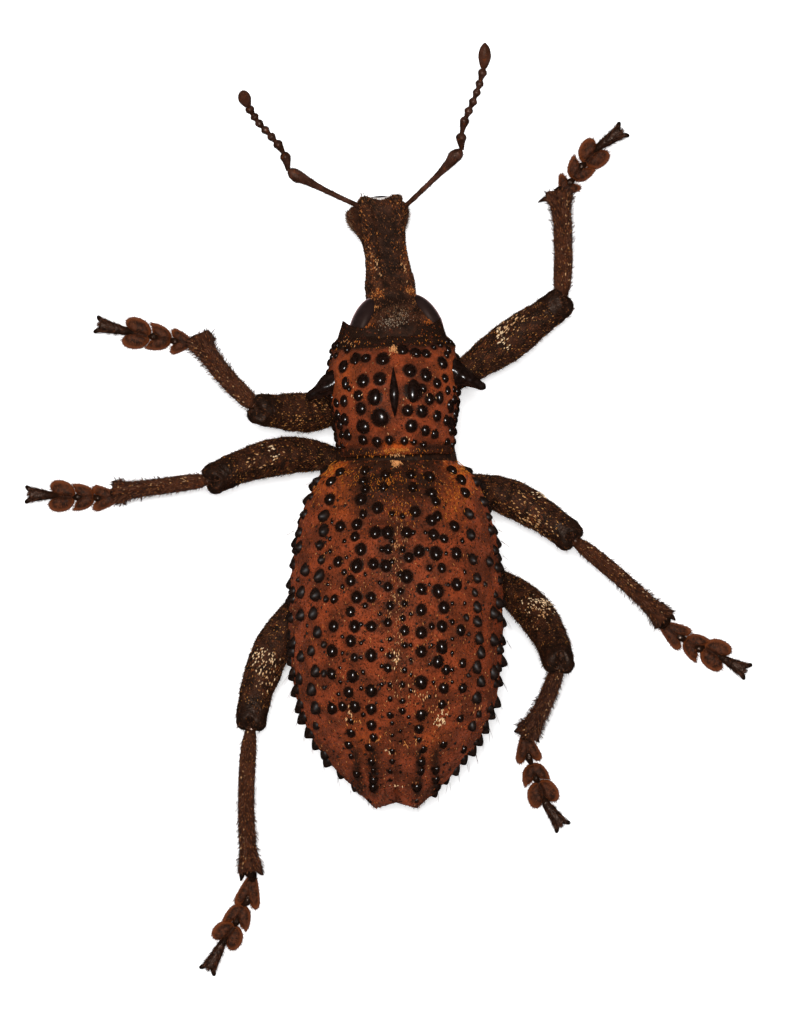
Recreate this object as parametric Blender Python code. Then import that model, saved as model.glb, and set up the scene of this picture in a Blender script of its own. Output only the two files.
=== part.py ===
"""A life-size donkeyface weevil, standing on its six tarsi, as a still museum model.

Lengths are written in millimetres and made metres where a mesh is built. +Y is the way the
rostrum points, +X is the animal's right and +Z is up. The origin lies on the floor, under the
middle of the space that the whole animal takes up.
"""

import math
import random

import bmesh
import bpy
from mathutils import Euler, Matrix, Vector

MM = 0.001
# The even gap between parts that touch, and a length past every part, for the cutters.
GAP = 0.25
FAR = 30

# The body's midline, and the places along Y where its main parts meet.
MIDLINE_X = 0.41
ELYTRA_FRONT_Y = 2.37
ELYTRA_LENGTH = 17.1
PROTHORAX_REAR_Y = ELYTRA_FRONT_Y + GAP
PROTHORAX_LENGTH = 5.85
HEAD_PIVOT = (MIDLINE_X, PROTHORAX_REAR_Y + PROTHORAX_LENGTH, 5.35)
HEAD_TURN_DEG = (-15.0, 8.0, 5.0)
PROTHORAX_YAW_DEG = 2.0

# Hind body, read from its front (0) to its tip (1): half width, top, widest height, underside.
HIND_WIDTH = ((0, 2.9), (0.04, 3.65), (0.1, 4.3), (0.2, 4.85), (0.32, 5.15), (0.45, 5.25),
              (0.58, 5.18), (0.7, 4.82), (0.8, 4.1), (0.88, 3.15), (0.95, 2.05), (1, 1.15))
HIND_TOP = ((0, 7.9), (0.1, 9.1), (0.25, 10.05), (0.42, 10.4), (0.58, 10.2), (0.72, 9.25),
            (0.84, 7.6), (0.93, 5.9), (1, 4.75))
HIND_MIDDLE = ((0, 5.4), (0.4, 5.3), (0.8, 4.7), (1, 4.15))
HIND_UNDER = ((0, 3.35), (0.12, 2.9), (0.3, 2.7), (0.6, 2.35), (0.85, 2.6), (1, 3.45))
HIND_ROUNDNESS = (2.15, 2.3)
HIND_RINGS = (0, 0.03, 0.08, 0.15, 0.23, 0.32, 0.42, 0.52, 0.62, 0.7, 0.77, 0.83, 0.88, 0.93,
              0.97, 1)
HIND_SIDES = 24
# The notch between the two tips: its depth, where it starts, and how far out it dies away.
APEX_NOTCH = 0.75
NOTCH_START = 0.85
APEX_LOBE_X = 0.95
ELYTRA_EDGE_Z = 4.0
METATHORAX_REAR_Y = -3.6

# Prothorax, read from its rear (0) to its front (1).
PRO_WIDTH = ((0, 2.7), (0.1, 2.85), (0.3, 3.0), (0.5, 3.15), (0.7, 3.2), (0.86, 3.05),
             (0.95, 2.9), (1, 2.72))
PRO_TOP = ((0, 8.0), (0.15, 8.5), (0.45, 8.9), (0.7, 8.6), (0.88, 7.9), (1, 7.3))
PRO_MIDDLE = ((0, 5.6), (1, 5.4))
PRO_UNDER = ((0, 3.45), (0.3, 3.1), (0.7, 3.15), (1, 3.6))
PRO_ROUNDNESS = (2.1, 2.1)
PRO_RINGS = (0, 0.04, 0.14, 0.28, 0.44, 0.6, 0.74, 0.86, 0.95, 1)
PRO_SIDES = 24

# Head and rostrum, along the head's own axis in mm from the pivot.
HEAD_WIDTH = ((0, 2.1), (0.4, 2.0), (1.0, 1.65), (1.7, 1.2))
HEAD_TOP = ((0, 1.8), (0.9, 1.5), (1.7, 1.15))
HEAD_UNDER = ((0, -1.75), (0.9, -1.5), (1.7, -1.15))
HEAD_RINGS = (-0.8, 0.0, 0.45, 0.85, 1.25, 1.6, 1.85)
SNOUT_WIDTH = ((1.7, 1.25), (2.7, 1.1), (4.2, 1.02), (5.4, 1.12), (6.3, 1.3), (7.0, 1.22))
SNOUT_TOP = ((1.7, 1.12), (3.0, 0.95), (5.4, 0.85), (7.0, 0.7))
SNOUT_UNDER = ((1.7, -1.12), (3.0, -1.0), (5.4, -1.15), (7.0, -1.3))
SNOUT_RINGS = (1.85 + GAP, 2.3, 2.9, 3.8, 4.7, 5.5, 6.2, 6.75, 7.1)
# How far the mouth end slopes back under the rostrum, for each mm below its top.
SNOUT_RAKE = ((5.0, 0.0), (7.1, 0.45))
# The flat channel along the top of the rostrum: its half width and depth.
CHANNEL = (0.5, 0.13)
SCROBE_RADIUS = 0.25 + GAP
HEAD_ROUNDNESS = (2.6, 2.4)
HEAD_SIDES = 16
MANDIBLE_PLACE = (0, 6.9, -1.0)
MANDIBLE_SEMI_AXES = (0.6, 0.28, 0.42)

EYE_SEMI_AXES = (0.5, 0.9, 1.08)
EYE_PLACE = (1.44, 1.14, 0.1)
EYE_SLANT_DEG = 31.0

# Bosses: the black shining tubercles that stand on the pronotum and the elytra. They lean back a
# little on the elytra, and each differs from its neighbours in size and place.
BOSS_SIDES = 6
BOSS_SINK = 0.35
BOSS_SEED = 7
BOSS_LEAN = Vector((0, -0.35, 0))
BOSS_SIZES = (0.85, 1.13)
BOSS_TIP_SHARE = 0.35
ROW_WAVER = 0.1
STEP_WAVER = 0.22
# One row of elytral bosses: how far out it runs at the widest place, how closely it follows the
# outline, its first and last place along the elytron, how many, and their radius and height.
ELYTRA_ROWS = (
    (1.22, 0.12, 0.05, 0.87, 16, 0.27, 0.3),
    (2.15, 0.3, 0.07, 0.88, 15, 0.27, 0.3),
    (3.05, 0.6, 0.06, 0.85, 13, 0.26, 0.3),
    (3.95, 0.88, 0.09, 0.87, 13, 0.26, 0.34),
    (4.68, 0.97, 0.12, 0.84, 11, 0.25, 0.32),
)
MARGIN_SPINES = 19
MARGIN_SPINE_SPAN = (0.05, 0.93)
MARGIN_SPINE_RADIUS = 0.26
MARGIN_SPINE_LENGTH = 0.44
MARGIN_SPINE_ANGLE_DEG = 84.0
MARGIN_SPINE_LEAN = Vector((0, -0.5, 0))
SPINE_TIP_RADIUS = 0.06
# Pronotal bosses row by row: the place from rear to front, then each one's place across in mm,
# left of the keel as a minus.
PRONOTUM_ROWS = (
    (0.12, (-2.4, -1.65, -0.95, -0.38, 0.38, 1.2, 1.95)),
    (0.29, (-2.5, -1.6, -0.74, 0.75, 1.4, 2.3)),
    (0.41, (-2.75, -1.7, 0.6, 1.28, 1.95, 2.6)),
    (0.52, (-2.3, -1.05, 0.85, 1.65, 2.45)),
    (0.64, (-2.5, -1.6, -0.75, 0.72, 1.5, 2.2)),
    (0.8, (-2.5, -1.9, -1.35, -0.6, 0.36, 1.05, 1.65, 2.35)),
)
PRONOTUM_BOSS = (0.31, 0.22)
PRONOTUM_TIP_SHARE = 0.5
PRONOTUM_WAVER = 0.025
# Bosses down the side of the prothorax: the angle of each row from the top, and its places.
FLANK_ROWS = ((62, (0.2, 0.36, 0.72, 0.86)), (84, (0.14, 0.3, 0.44, 0.72, 0.88)),
              (106, (0.22, 0.4, 0.6, 0.8)))
KEEL = (0.3, 0.7, 0.24, 0.28)
SIDE_SPINE_PLACE = 0.56
SIDE_SPINE_ANGLE_DEG = 72.0
SIDE_SPINE_LEAN = Vector((0, -0.45, 0.1))
SIDE_SPINE_SINK = 0.7
SIDE_SPINE = (0.6, 1.5)

# Legs. Each has its coxa's centre, the bend of its femur, its knee and its ankle, and the ends
# of its tarsus on the floor: the middle of its first pad and the tip of its claws. The bow is how
# far the middle of its tibia curves out to the right of the way to the ankle.
COXA_RADIUS = 0.75
FEMUR_DROP = 0.35
KNEE_RADIUS = 0.78
FEMUR_GIRTH = ((0, 0.5), (0.12, 0.58), (0.35, 0.82), (0.6, 0.95), (0.75, 0.93), (0.88, 0.84),
               (1, KNEE_RADIUS))
FEMUR_RINGS = 10
FEMUR_SIDES = 10
KNEE_CAP = ((0.35, 0.72), (0.6, 0.5), (0.74, 0.22))
TIBIA_GIRTH = ((0, 0.34), (0.12, 0.41), (0.5, 0.41), (0.8, 0.45), (0.93, 0.51), (1, 0.53))
TIBIA_FLATNESS = 1.15
TIBIA_SIDES = 8
TIBIA_RINGS = 7
# The spur at the end of the tibia: its radius and length, and how far out and back it grows.
MUCRO = (0.22, 0.55)
MUCRO_OUT = 0.36
MUCRO_BACK = 0.25
MUCRO_LEAN = 0.7
PAD_SIZES = ((0.78, 0.6), (0.84, 0.58), (0.92, 0.64))
PAD_PITCH = (0, 1.13, 2.22)
PAD_TAPER = 0.3
PAD_HEIGHT = 0.5
PAD_NOTCH = 0.45
NOTCH_WIDTH = 0.62
# A pad is a flattened ball cut level by the floor: how much of its height is curved.
PAD_CURVE = 0.62
# Each pad stands this far to one side of the last, so that no two edges cross exactly.
PAD_STAGGER = 0.03
# The core that carries the pads: its radius from the ankle to the claws, its height, the length
# of its straight start, and how far the claw joint swells and rises.
TARSUS_GIRTHS = (0.27, 0.27, 0.25, 0.25, 0.25, 0.25, 0.29)
TARSUS_LIFT = Vector((0, 0, 0.31))
ANKLE_LENGTH = 0.12
CLAW_JOINT_LENGTH = 0.5
CLAW_JOINT_RISE = 1.25
CLAW = (0.17, 0.5)
CLAW_SPREAD_DEG = 30.0
CLAW_OFFSET = 0.12
CLAW_TIP_RADIUS = 0.04
CLAW_SINK = 0.15
LEGS = {
    "front_left": {"coxa": (-0.6, 5.2, 2.7), "bend": (-3.4, 4.5, 2.9),
                   "knee": (-6.3, 4.88, 5.6), "ankle": (-9.36, 8.37, 0.95),
                   "pad": (-10.45, 8.3), "claws": (-14.45, 9.25), "bow": -0.2},
    "front_right": {"coxa": (1.4, 5.2, 2.7), "bend": (5.04, 7.5, 2.9),
                    "knee": (8.5, 10.15, 4.6), "ankle": (8.6, 15.7, 0.95),
                    "pad": (8.95, 16.4), "claws": (11.7, 19.05), "bow": 0.15},
    "middle_left": {"coxa": (-1.0, 1.45, 2.35), "bend": (-4.9, 3.6, 2.4),
                    "knee": (-8.56, 1.46, 5.2), "ankle": (-13.45, 0.85, 0.95),
                    "pad": (-14.25, 0.6), "claws": (-18.0, 0.7), "bow": 0.0},
    "middle_right": {"coxa": (1.8, 1.0, 2.35), "bend": (5.4, 1.75, 2.3),
                     "knee": (8.98, -1.38, 4.0), "ankle": (13.7, -5.32, 0.95),
                     "pad": (14.45, -6.25), "claws": (17.85, -8.05), "bow": -0.1},
    "hind_left": {"coxa": (-1.65, -2.5, 2.35), "bend": (-6.2, -5.51, 1.9),
                  "knee": (-6.73, -10.5, 4.0), "ankle": (-6.87, -17.88, 0.95),
                  "pad": (-6.95, -19.3), "claws": (-8.8, -23.1), "bow": 0.22},
    "hind_right": {"coxa": (2.45, -2.5, 2.35), "bend": (7.6, -3.75, 2.2),
                   "knee": (8.29, -7.5, 7.8), "ankle": (7.02, -11.06, 0.95),
                   "pad": (7.05, -12.2), "claws": (8.6, -15.85), "bow": -0.15},
}
# How stout each pair's femora are.
GIRTHS = {"front": 1.0, "middle": 0.84, "hind": 0.86}

# Antennae: where the scape leaves the rostrum, the elbow, and the far end of the club.
SCAPE_GIRTH = ((0, 0.25), (0.5, 0.25), (0.8, 0.32), (0.93, 0.32), (1, 0.24))
FUNICLE_BEADS = 7
BEAD_RADIUS = 0.26
BEAD_STRETCH = 0.58
FUNICLE_CORE = 0.2
CLUB_GIRTH = ((0, 0.17), (0.25, 0.28), (0.55, 0.33), (0.8, 0.24), (1, 0.08))
CLUB_SHARE = 0.24
ANTENNAE = {
    "left": {"root": (-1.62, 15.0, 3.9), "elbow": (-4.89, 16.72, 5.2),
             "bow": (-5.97, 18.6, 5.6), "tip": (-7.05, 20.25, 7.0)},
    "right": {"root": (1.17, 15.3, 3.6), "elbow": (3.62, 17.53, 5.0),
              "bow": (3.97, 19.5, 5.6), "tip": (4.78, 22.65, 6.8)},
}

COLOURS = {
    "elytra": ((0.21, 0.055, 0.022, 1), 0.6), "prothorax": ((0.2, 0.052, 0.022, 1), 0.6),
    "body": ((0.03, 0.017, 0.012, 1), 0.55), "head": ((0.035, 0.019, 0.013, 1), 0.6),
    "eye": ((0.02, 0.018, 0.02, 1), 0.2), "leg": ((0.035, 0.018, 0.012, 1), 0.6),
    "tarsus": ((0.07, 0.026, 0.014, 1), 0.65), "antenna": ((0.05, 0.022, 0.016, 1), 0.5),
}


def smooth(stations, place):
    """The value at a place of the smooth curve through (place, value) stations."""
    if place <= stations[0][0]:
        return stations[0][1]
    for i in range(len(stations) - 1):
        (a, va), (b, vb) = stations[i], stations[i + 1]
        if place <= b:
            before = stations[max(i - 1, 0)]
            after = stations[min(i + 2, len(stations) - 1)]
            slope_a = (vb - before[1]) / (b - before[0])
            slope_b = (after[1] - va) / (after[0] - a)
            s = (place - a) / (b - a)
            rise = (b - a) * (slope_a * s * (1 - s) ** 2 - slope_b * s * s * (1 - s))
            return va + (vb - va) * s * s * (3 - 2 * s) + rise
    return stations[-1][1]


def clear_scene():
    """Remove whatever the scene holds, so that only the animal is left."""
    for obj in list(bpy.data.objects):
        bpy.data.objects.remove(obj)


def material(name):
    """The plain material of one kind of part."""
    made = bpy.data.materials.get(name)
    if made is None:
        made = bpy.data.materials.new(name)
        made.use_nodes = True
        colour, roughness = COLOURS[name]
        shader = made.node_tree.nodes["Principled BSDF"]
        shader.inputs["Base Color"].default_value = colour
        shader.inputs["Roughness"].default_value = roughness
        made.diffuse_color = colour
    return made


def object_of(name, shape, finish="body"):
    """A linked object that holds a bmesh, with its faces turned outwards."""
    bmesh.ops.recalc_face_normals(shape, faces=shape.faces)
    mesh = bpy.data.meshes.new(name)
    shape.to_mesh(mesh)
    shape.free()
    mesh.shade_smooth()
    mesh.set_sharp_from_angle(angle=math.radians(45))
    mesh.materials.append(material(finish))
    obj = bpy.data.objects.new(name, mesh)
    bpy.data.collections["weevil"].objects.link(obj)
    return obj


def loft(name, rings, finish="body"):
    """A closed body through rings of points in mm, with a fan over each end."""
    shape = bmesh.new()
    loops = [[shape.verts.new(point * MM) for point in ring] for ring in rings]
    sides = len(loops[0])
    for near, far in zip(loops, loops[1:]):
        for i in range(sides):
            j = (i + 1) % sides
            shape.faces.new((near[i], near[j], far[j], far[i]))
    for loop in (loops[0], loops[-1]):
        middle = shape.verts.new(sum((v.co for v in loop), Vector()) / sides)
        for i in range(sides):
            shape.faces.new((loop[i], loop[(i + 1) % sides], middle))
    return object_of(name, shape, finish)


def section(width, top, middle, under, roundness, angle):
    """How far across and how high a body's outline is at an angle from straight up."""
    across, upward = math.sin(angle), math.cos(angle)
    power = 2 / (roundness[0] if upward > 0 else roundness[1])
    reach = (top - middle) if upward > 0 else (middle - under)
    x = math.copysign(abs(across) ** power, across) * width
    return x, middle + math.copysign(abs(upward) ** power, upward) * reach


def hind_point(place, angle):
    """A point of the hind body in mm, by its place along it and its angle from the top."""
    x, z = section(smooth(HIND_WIDTH, place), smooth(HIND_TOP, place),
                   smooth(HIND_MIDDLE, place), smooth(HIND_UNDER, place), HIND_ROUNDNESS, angle)
    y = ELYTRA_FRONT_Y - ELYTRA_LENGTH * place
    near_tip = max(0.0, (place - NOTCH_START) / (1 - NOTCH_START))
    dip = max(0.0, 1 - abs(x) / APEX_LOBE_X) * APEX_NOTCH * near_tip ** 2
    return Vector((MIDLINE_X + x, y + dip, z))


def prothorax_point(place, angle):
    """A point of the prothorax in mm, by its place from rear to front and its angle."""
    x, z = section(smooth(PRO_WIDTH, place), smooth(PRO_TOP, place), smooth(PRO_MIDDLE, place),
                   smooth(PRO_UNDER, place), PRO_ROUNDNESS, angle)
    turn = math.radians(PROTHORAX_YAW_DEG)
    along = PROTHORAX_LENGTH * place
    return Vector((MIDLINE_X + x * math.cos(turn) - along * math.sin(turn),
                   PROTHORAX_REAR_Y + along * math.cos(turn) + x * math.sin(turn), z))


def outward(surface, place, angle):
    """The direction that points straight out of a surface."""
    step = 0.01
    along = surface(min(place + step, 1), angle) - surface(max(place - step, 0), angle)
    around = surface(place, angle + step) - surface(place, angle - step)
    normal = along.cross(around).normalized()
    centre = surface(place, math.pi) + (surface(place, 0) - surface(place, math.pi)) / 2
    return normal if normal.dot(surface(place, angle) - centre) > 0 else -normal


def angle_at(width, across, roundness):
    """The angle on the upper outline at which it stands that far across."""
    share = max(-0.999, min(0.999, across / width))
    return math.copysign(math.asin(abs(share) ** (roundness[0] / 2)), share)


def ball(name, place, semi_axes, finish="body", turn=(0, 0, 0), sides=12, rings=8):
    """An ellipsoid in mm, set at a place and turned by degrees."""
    shape = bmesh.new()
    bmesh.ops.create_uvsphere(shape, u_segments=sides, v_segments=rings, radius=MM)
    bmesh.ops.scale(shape, vec=Vector(semi_axes), verts=shape.verts)
    rotation = Euler([math.radians(a) for a in turn]).to_matrix()
    bmesh.ops.rotate(shape, matrix=rotation, verts=shape.verts)
    bmesh.ops.translate(shape, vec=Vector(place) * MM, verts=shape.verts)
    return object_of(name, shape, finish)


def cone(name, root, direction, radius, tip_radius, length, sink, sides=BOSS_SIDES):
    """A tapered peg in mm along a direction, its root sunk below the surface it grows from."""
    shape = bmesh.new()
    bmesh.ops.create_cone(shape, cap_ends=True, segments=sides, radius1=radius * MM,
                          radius2=tip_radius * MM, depth=(length + sink) * MM)
    rotation = Vector(direction).to_track_quat("Z", "Y").to_matrix()
    bmesh.ops.rotate(shape, matrix=rotation, verts=shape.verts)
    middle = Vector(root) + Vector(direction).normalized() * (length - sink) / 2
    bmesh.ops.translate(shape, vec=middle * MM, verts=shape.verts)
    return object_of(name, shape)


def slab(name, low, high):
    """A box cutter between two corners in mm."""
    shape = bmesh.new()
    bmesh.ops.create_cube(shape, size=1)
    low, high = Vector(low), Vector(high)
    bmesh.ops.scale(shape, vec=(high - low) * MM, verts=shape.verts)
    bmesh.ops.translate(shape, vec=(high + low) / 2 * MM, verts=shape.verts)
    return object_of(name, shape)


def tube(name, path, girths, finish="leg", sides=FEMUR_SIDES, flatness=1.0):
    """A closed limb along a path in mm, with a radius for each of its points."""
    rings = []
    for i, point in enumerate(path):
        ahead = path[min(i + 1, len(path) - 1)] - path[max(i - 1, 0)]
        side = ahead.cross(Vector((0, 0, 1))).normalized()
        rise = side.cross(ahead).normalized()
        ring = []
        for k in range(sides):
            angle = math.tau * (k + 0.5) / sides
            spread = side * math.cos(angle) * flatness + rise * math.sin(angle)
            ring.append(point + spread * girths[i])
        rings.append(ring)
    return loft(name, rings, finish)


def apply_boolean(obj, modifier):
    """Make a Boolean's result the object's own mesh, and keep its largest closed surface."""
    bpy.context.view_layer.update()
    graph = bpy.context.evaluated_depsgraph_get()
    done = bpy.data.meshes.new_from_object(obj.evaluated_get(graph), depsgraph=graph)
    obj.modifiers.remove(modifier)
    obj.data = done
    shape = bmesh.new()
    shape.from_mesh(done)
    islands, seen = [], set()
    for start in shape.verts:
        if start in seen:
            continue
        island, edge_of = [], [start]
        seen.add(start)
        while edge_of:
            vert = edge_of.pop()
            island.append(vert)
            for edge in vert.link_edges:
                other = edge.other_vert(vert)
                if other not in seen:
                    seen.add(other)
                    edge_of.append(other)
        islands.append(island)

    def spread(island):
        corners = [[v.co[axis] for v in island] for axis in range(3)]
        return math.dist([min(c) for c in corners], [max(c) for c in corners])

    islands.sort(key=spread)
    for island in islands[:-1]:
        bmesh.ops.delete(shape, geom=island, context="VERTS")
    shape.to_mesh(done)
    shape.free()


def set_aside(pieces):
    """Move pieces that only join or cut a part into the collection kept for them."""
    group = bpy.data.collections["cutters"]
    for piece in pieces:
        bpy.data.collections["weevil"].objects.unlink(piece)
        group.objects.link(piece)
        piece.hide_render = True
        piece.display_type = "WIRE"
    return group


def fuse(obj, pieces):
    """Join pieces to an object by one Boolean union."""
    modifier = obj.modifiers.new("union", "BOOLEAN")
    modifier.operation = "UNION"
    modifier.solver = "MANIFOLD"
    modifier.operand_type = "COLLECTION"
    modifier.collection = set_aside(pieces)
    apply_boolean(obj, modifier)
    for piece in pieces:
        bpy.data.objects.remove(piece)


def cut(obj, *cutters):
    """Take closed cutters away from an object."""
    set_aside(cutters)
    for cutter in cutters:
        modifier = obj.modifiers.new("cut", "BOOLEAN")
        modifier.operation = "DIFFERENCE"
        modifier.object = cutter
        apply_boolean(obj, modifier)
    for cutter in cutters:
        bpy.data.objects.remove(cutter)


def set_origin(obj, place):
    """Give an object its natural origin, in mm, without moving its shape."""
    place = Vector(place) * MM
    obj.data.transform(Matrix.Translation(-place))
    obj.location = place


def coxa_socket(leg):
    """The cutter that leaves a coxa its even gap in the thorax."""
    reach = COXA_RADIUS + GAP
    return ball("socket", LEGS[leg]["coxa"], (reach, reach, reach))


def hind_body():
    """The whole hind body, before it is parted into elytra, metathorax and abdomen."""
    rings = [[hind_point(place, math.tau * (k + 0.5) / HIND_SIDES) for k in range(HIND_SIDES)]
             for place in HIND_RINGS]
    return loft("hind_body", rings, "elytra")


def boss(surface, place, angle, lean, radius, tip_share, height):
    """A boss on a surface, leaning from straight outwards by a vector."""
    return cone("boss", surface(place, angle), outward(surface, place, angle) + lean, radius,
                radius * tip_share, height, BOSS_SINK)


def elytron_bosses(side, draw):
    """The rows of bosses and the marginal spines of one elytron, side being -1 or 1."""
    pieces = []
    widest = max(width for _, width in HIND_WIDTH)
    for out, follow, first, last, count, radius, height in ELYTRA_ROWS:
        for i in range(count):
            step = i + draw.uniform(-STEP_WAVER, STEP_WAVER)
            place = first + (last - first) * step / (count - 1)
            width = smooth(HIND_WIDTH, place)
            across = out * (width / widest) ** follow + draw.uniform(-ROW_WAVER, ROW_WAVER)
            angle = angle_at(width, side * across, HIND_ROUNDNESS)
            size = draw.uniform(*BOSS_SIZES)
            pieces.append(boss(hind_point, place, angle, BOSS_LEAN, radius * size,
                               BOSS_TIP_SHARE, height * size))
    first, last = MARGIN_SPINE_SPAN
    for i in range(MARGIN_SPINES):
        place = first + (last - first) * i / (MARGIN_SPINES - 1)
        angle = side * math.radians(MARGIN_SPINE_ANGLE_DEG)
        pieces.append(boss(hind_point, place, angle, MARGIN_SPINE_LEAN, MARGIN_SPINE_RADIUS,
                           SPINE_TIP_RADIUS / MARGIN_SPINE_RADIUS, MARGIN_SPINE_LENGTH))
    return pieces


def build_elytra():
    """Both elytra: the upper part of the hind body, parted along the suture."""
    draw = random.Random(BOSS_SEED)
    for side, name in ((-1, "elytron_left"), (1, "elytron_right")):
        elytron = hind_body()
        elytron.name = name
        fuse(elytron, elytron_bosses(side, draw))
        inner = MIDLINE_X + side * GAP / 2
        beyond = inner - side * FAR
        cut(elytron, slab("below", (-FAR, -FAR, -FAR), (FAR, FAR, ELYTRA_EDGE_Z)),
            slab("other_side", (min(inner, beyond), -FAR, -FAR), (max(inner, beyond), FAR, FAR)))
        set_origin(elytron, (MIDLINE_X, ELYTRA_FRONT_Y, ELYTRA_EDGE_Z))


def build_underside():
    """The metathorax with the sockets of four coxae, and the abdomen behind it."""
    metathorax, abdomen = hind_body(), hind_body()
    metathorax.name = "metathorax"
    abdomen.name = "abdomen"
    for part in (metathorax, abdomen):
        part.data.materials[0] = material("body")
        cut(part, slab("above", (-FAR, -FAR, ELYTRA_EDGE_Z - GAP), (FAR, FAR, FAR)))
    cut(metathorax, slab("behind", (-FAR, -FAR, -FAR), (FAR, METATHORAX_REAR_Y, FAR)),
        *[coxa_socket(leg) for leg in LEGS if not leg.startswith("front")])
    cut(abdomen, slab("ahead", (-FAR, METATHORAX_REAR_Y - GAP, -FAR), (FAR, FAR, FAR)))
    set_origin(metathorax, (MIDLINE_X, METATHORAX_REAR_Y, ELYTRA_EDGE_Z))
    set_origin(abdomen, (MIDLINE_X, METATHORAX_REAR_Y - GAP, ELYTRA_EDGE_Z))


def pronotum_bosses(draw):
    """The bosses of the pronotum row by row, and those down both its flanks."""
    radius, height = PRONOTUM_BOSS
    spots = []
    for place, row in PRONOTUM_ROWS:
        for across in row:
            spot = place + draw.uniform(-PRONOTUM_WAVER, PRONOTUM_WAVER)
            spots.append((spot, angle_at(smooth(PRO_WIDTH, spot), across, PRO_ROUNDNESS)))
    for degrees, places in FLANK_ROWS:
        for place in places:
            spots += [(place, -math.radians(degrees)), (place, math.radians(degrees))]
    return [boss(prothorax_point, place, angle, Vector(), radius * draw.uniform(*BOSS_SIZES),
                 PRONOTUM_TIP_SHARE, height) for place, angle in spots]


def build_prothorax():
    """The prothorax with its bosses, its keel and a stout spine on each side."""
    rings = [[prothorax_point(place, math.tau * (k + 0.5) / PRO_SIDES) for k in range(PRO_SIDES)]
             for place in PRO_RINGS]
    prothorax = loft("prothorax", rings, "prothorax")
    pieces = pronotum_bosses(random.Random(BOSS_SEED))
    rear, front, half_width, rise = KEEL
    length = (prothorax_point(front, 0) - prothorax_point(rear, 0)).length
    pieces.append(ball("keel", prothorax_point((rear + front) / 2, 0),
                       (half_width, length / 2, rise), turn=(0, 0, PROTHORAX_YAW_DEG), sides=8,
                       rings=6))
    spine_radius, spine_length = SIDE_SPINE
    for angle in (-math.radians(SIDE_SPINE_ANGLE_DEG), math.radians(SIDE_SPINE_ANGLE_DEG)):
        lean = outward(prothorax_point, SIDE_SPINE_PLACE, angle) + SIDE_SPINE_LEAN
        pieces.append(cone("side_spine", prothorax_point(SIDE_SPINE_PLACE, angle), lean,
                           spine_radius, SPINE_TIP_RADIUS, spine_length, SIDE_SPINE_SINK,
                           sides=8))
    fuse(prothorax, pieces)
    cut(prothorax, *[coxa_socket(leg) for leg in LEGS if leg.startswith("front")])
    set_origin(prothorax, (MIDLINE_X, PROTHORAX_REAR_Y, PRO_MIDDLE[0][1]))


def head_rings(places, width, top, under, channel=0.0):
    """Rings of points along the head's own axis, with a channel of some depth along the top."""
    rings = []
    for y in places:
        ring = []
        for k in range(HEAD_SIDES):
            x, z = section(smooth(width, y), smooth(top, y), 0, smooth(under, y),
                           HEAD_ROUNDNESS, math.tau * (k + 0.5) / HEAD_SIDES)
            rake = smooth(SNOUT_RAKE, y) * (smooth(top, y) - z)
            dip = channel if z > 0 and abs(x) < CHANNEL[0] else 0
            ring.append(Vector((x, y - rake, z - dip)))
        rings.append(ring)
    return rings


def eye(name, side, grow=0.0):
    """One eye as an ellipsoid, or the cutter of its socket when it is grown."""
    x, y, z = EYE_PLACE
    return ball(name, (side * x, y, z), [a + grow for a in EYE_SEMI_AXES], "eye",
                turn=(0, 0, side * EYE_SLANT_DEG), sides=14, rings=9)


def build_head():
    """Head, rostrum, eyes and mandibles, set at the neck and turned as the animal holds them."""
    head = loft("head", head_rings(HEAD_RINGS, HEAD_WIDTH, HEAD_TOP, HEAD_UNDER), "head")
    turn = Euler([math.radians(a) for a in HEAD_TURN_DEG]).to_matrix()
    behind = slab("behind", (-FAR, -FAR, -FAR), (FAR, GAP, FAR))
    yaw = Matrix.Rotation(math.radians(PROTHORAX_YAW_DEG), 3, "Z")
    behind.data.transform((turn.inverted() @ yaw).to_4x4())
    cut(head, eye("socket", -1, GAP), eye("socket", 1, GAP), behind)
    rostrum = loft("rostrum", head_rings(SNOUT_RINGS, SNOUT_WIDTH, SNOUT_TOP, SNOUT_UNDER,
                                         CHANNEL[1]), "head")
    for side in ANTENNAE:
        root = Vector(ANTENNAE[side]["root"]) - Vector(HEAD_PIVOT)
        cut(rostrum, ball("scrobe", turn.inverted() @ root, (SCROBE_RADIUS,) * 3))
    mandibles = ball("mandibles", MANDIBLE_PLACE, MANDIBLE_SEMI_AXES, "head", sides=10, rings=6)
    parts = [head, rostrum, mandibles, eye("eye_left", -1), eye("eye_right", 1)]
    for part in parts:
        part.location = Vector(HEAD_PIVOT) * MM
        part.rotation_euler = [math.radians(a) for a in HEAD_TURN_DEG]


def bezier(start, bend, end, share):
    """A point of the curve from start to end that a bend point pulls aside."""
    return start * (1 - share) ** 2 + bend * 2 * share * (1 - share) + end * share ** 2


def tarsus_pad(place, along, half_width, half_length):
    """One heart-shaped tarsal pad, flat underneath, its lobes towards the claws."""
    shape = bmesh.new()
    bmesh.ops.create_uvsphere(shape, u_segments=10, v_segments=5, radius=1)
    for vert in shape.verts:
        side, ahead, up = vert.co
        taper = 1 - PAD_TAPER + PAD_TAPER * ahead
        notch = PAD_NOTCH * max(0.0, 1 - abs(side) / NOTCH_WIDTH) * max(0.0, ahead)
        vert.co = (side * taper * half_width, (ahead - notch) * half_length,
                   max(up * PAD_CURVE + 1 - PAD_CURVE, 0.0) * PAD_HEIGHT)
    turn = Matrix.Rotation(math.atan2(-along.x, along.y), 3, "Z")
    bmesh.ops.rotate(shape, matrix=turn, verts=shape.verts)
    bmesh.ops.translate(shape, vec=Vector(place), verts=shape.verts)
    bmesh.ops.scale(shape, vec=Vector((MM, MM, MM)), verts=shape.verts)
    return object_of("pad", shape, "tarsus")


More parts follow.
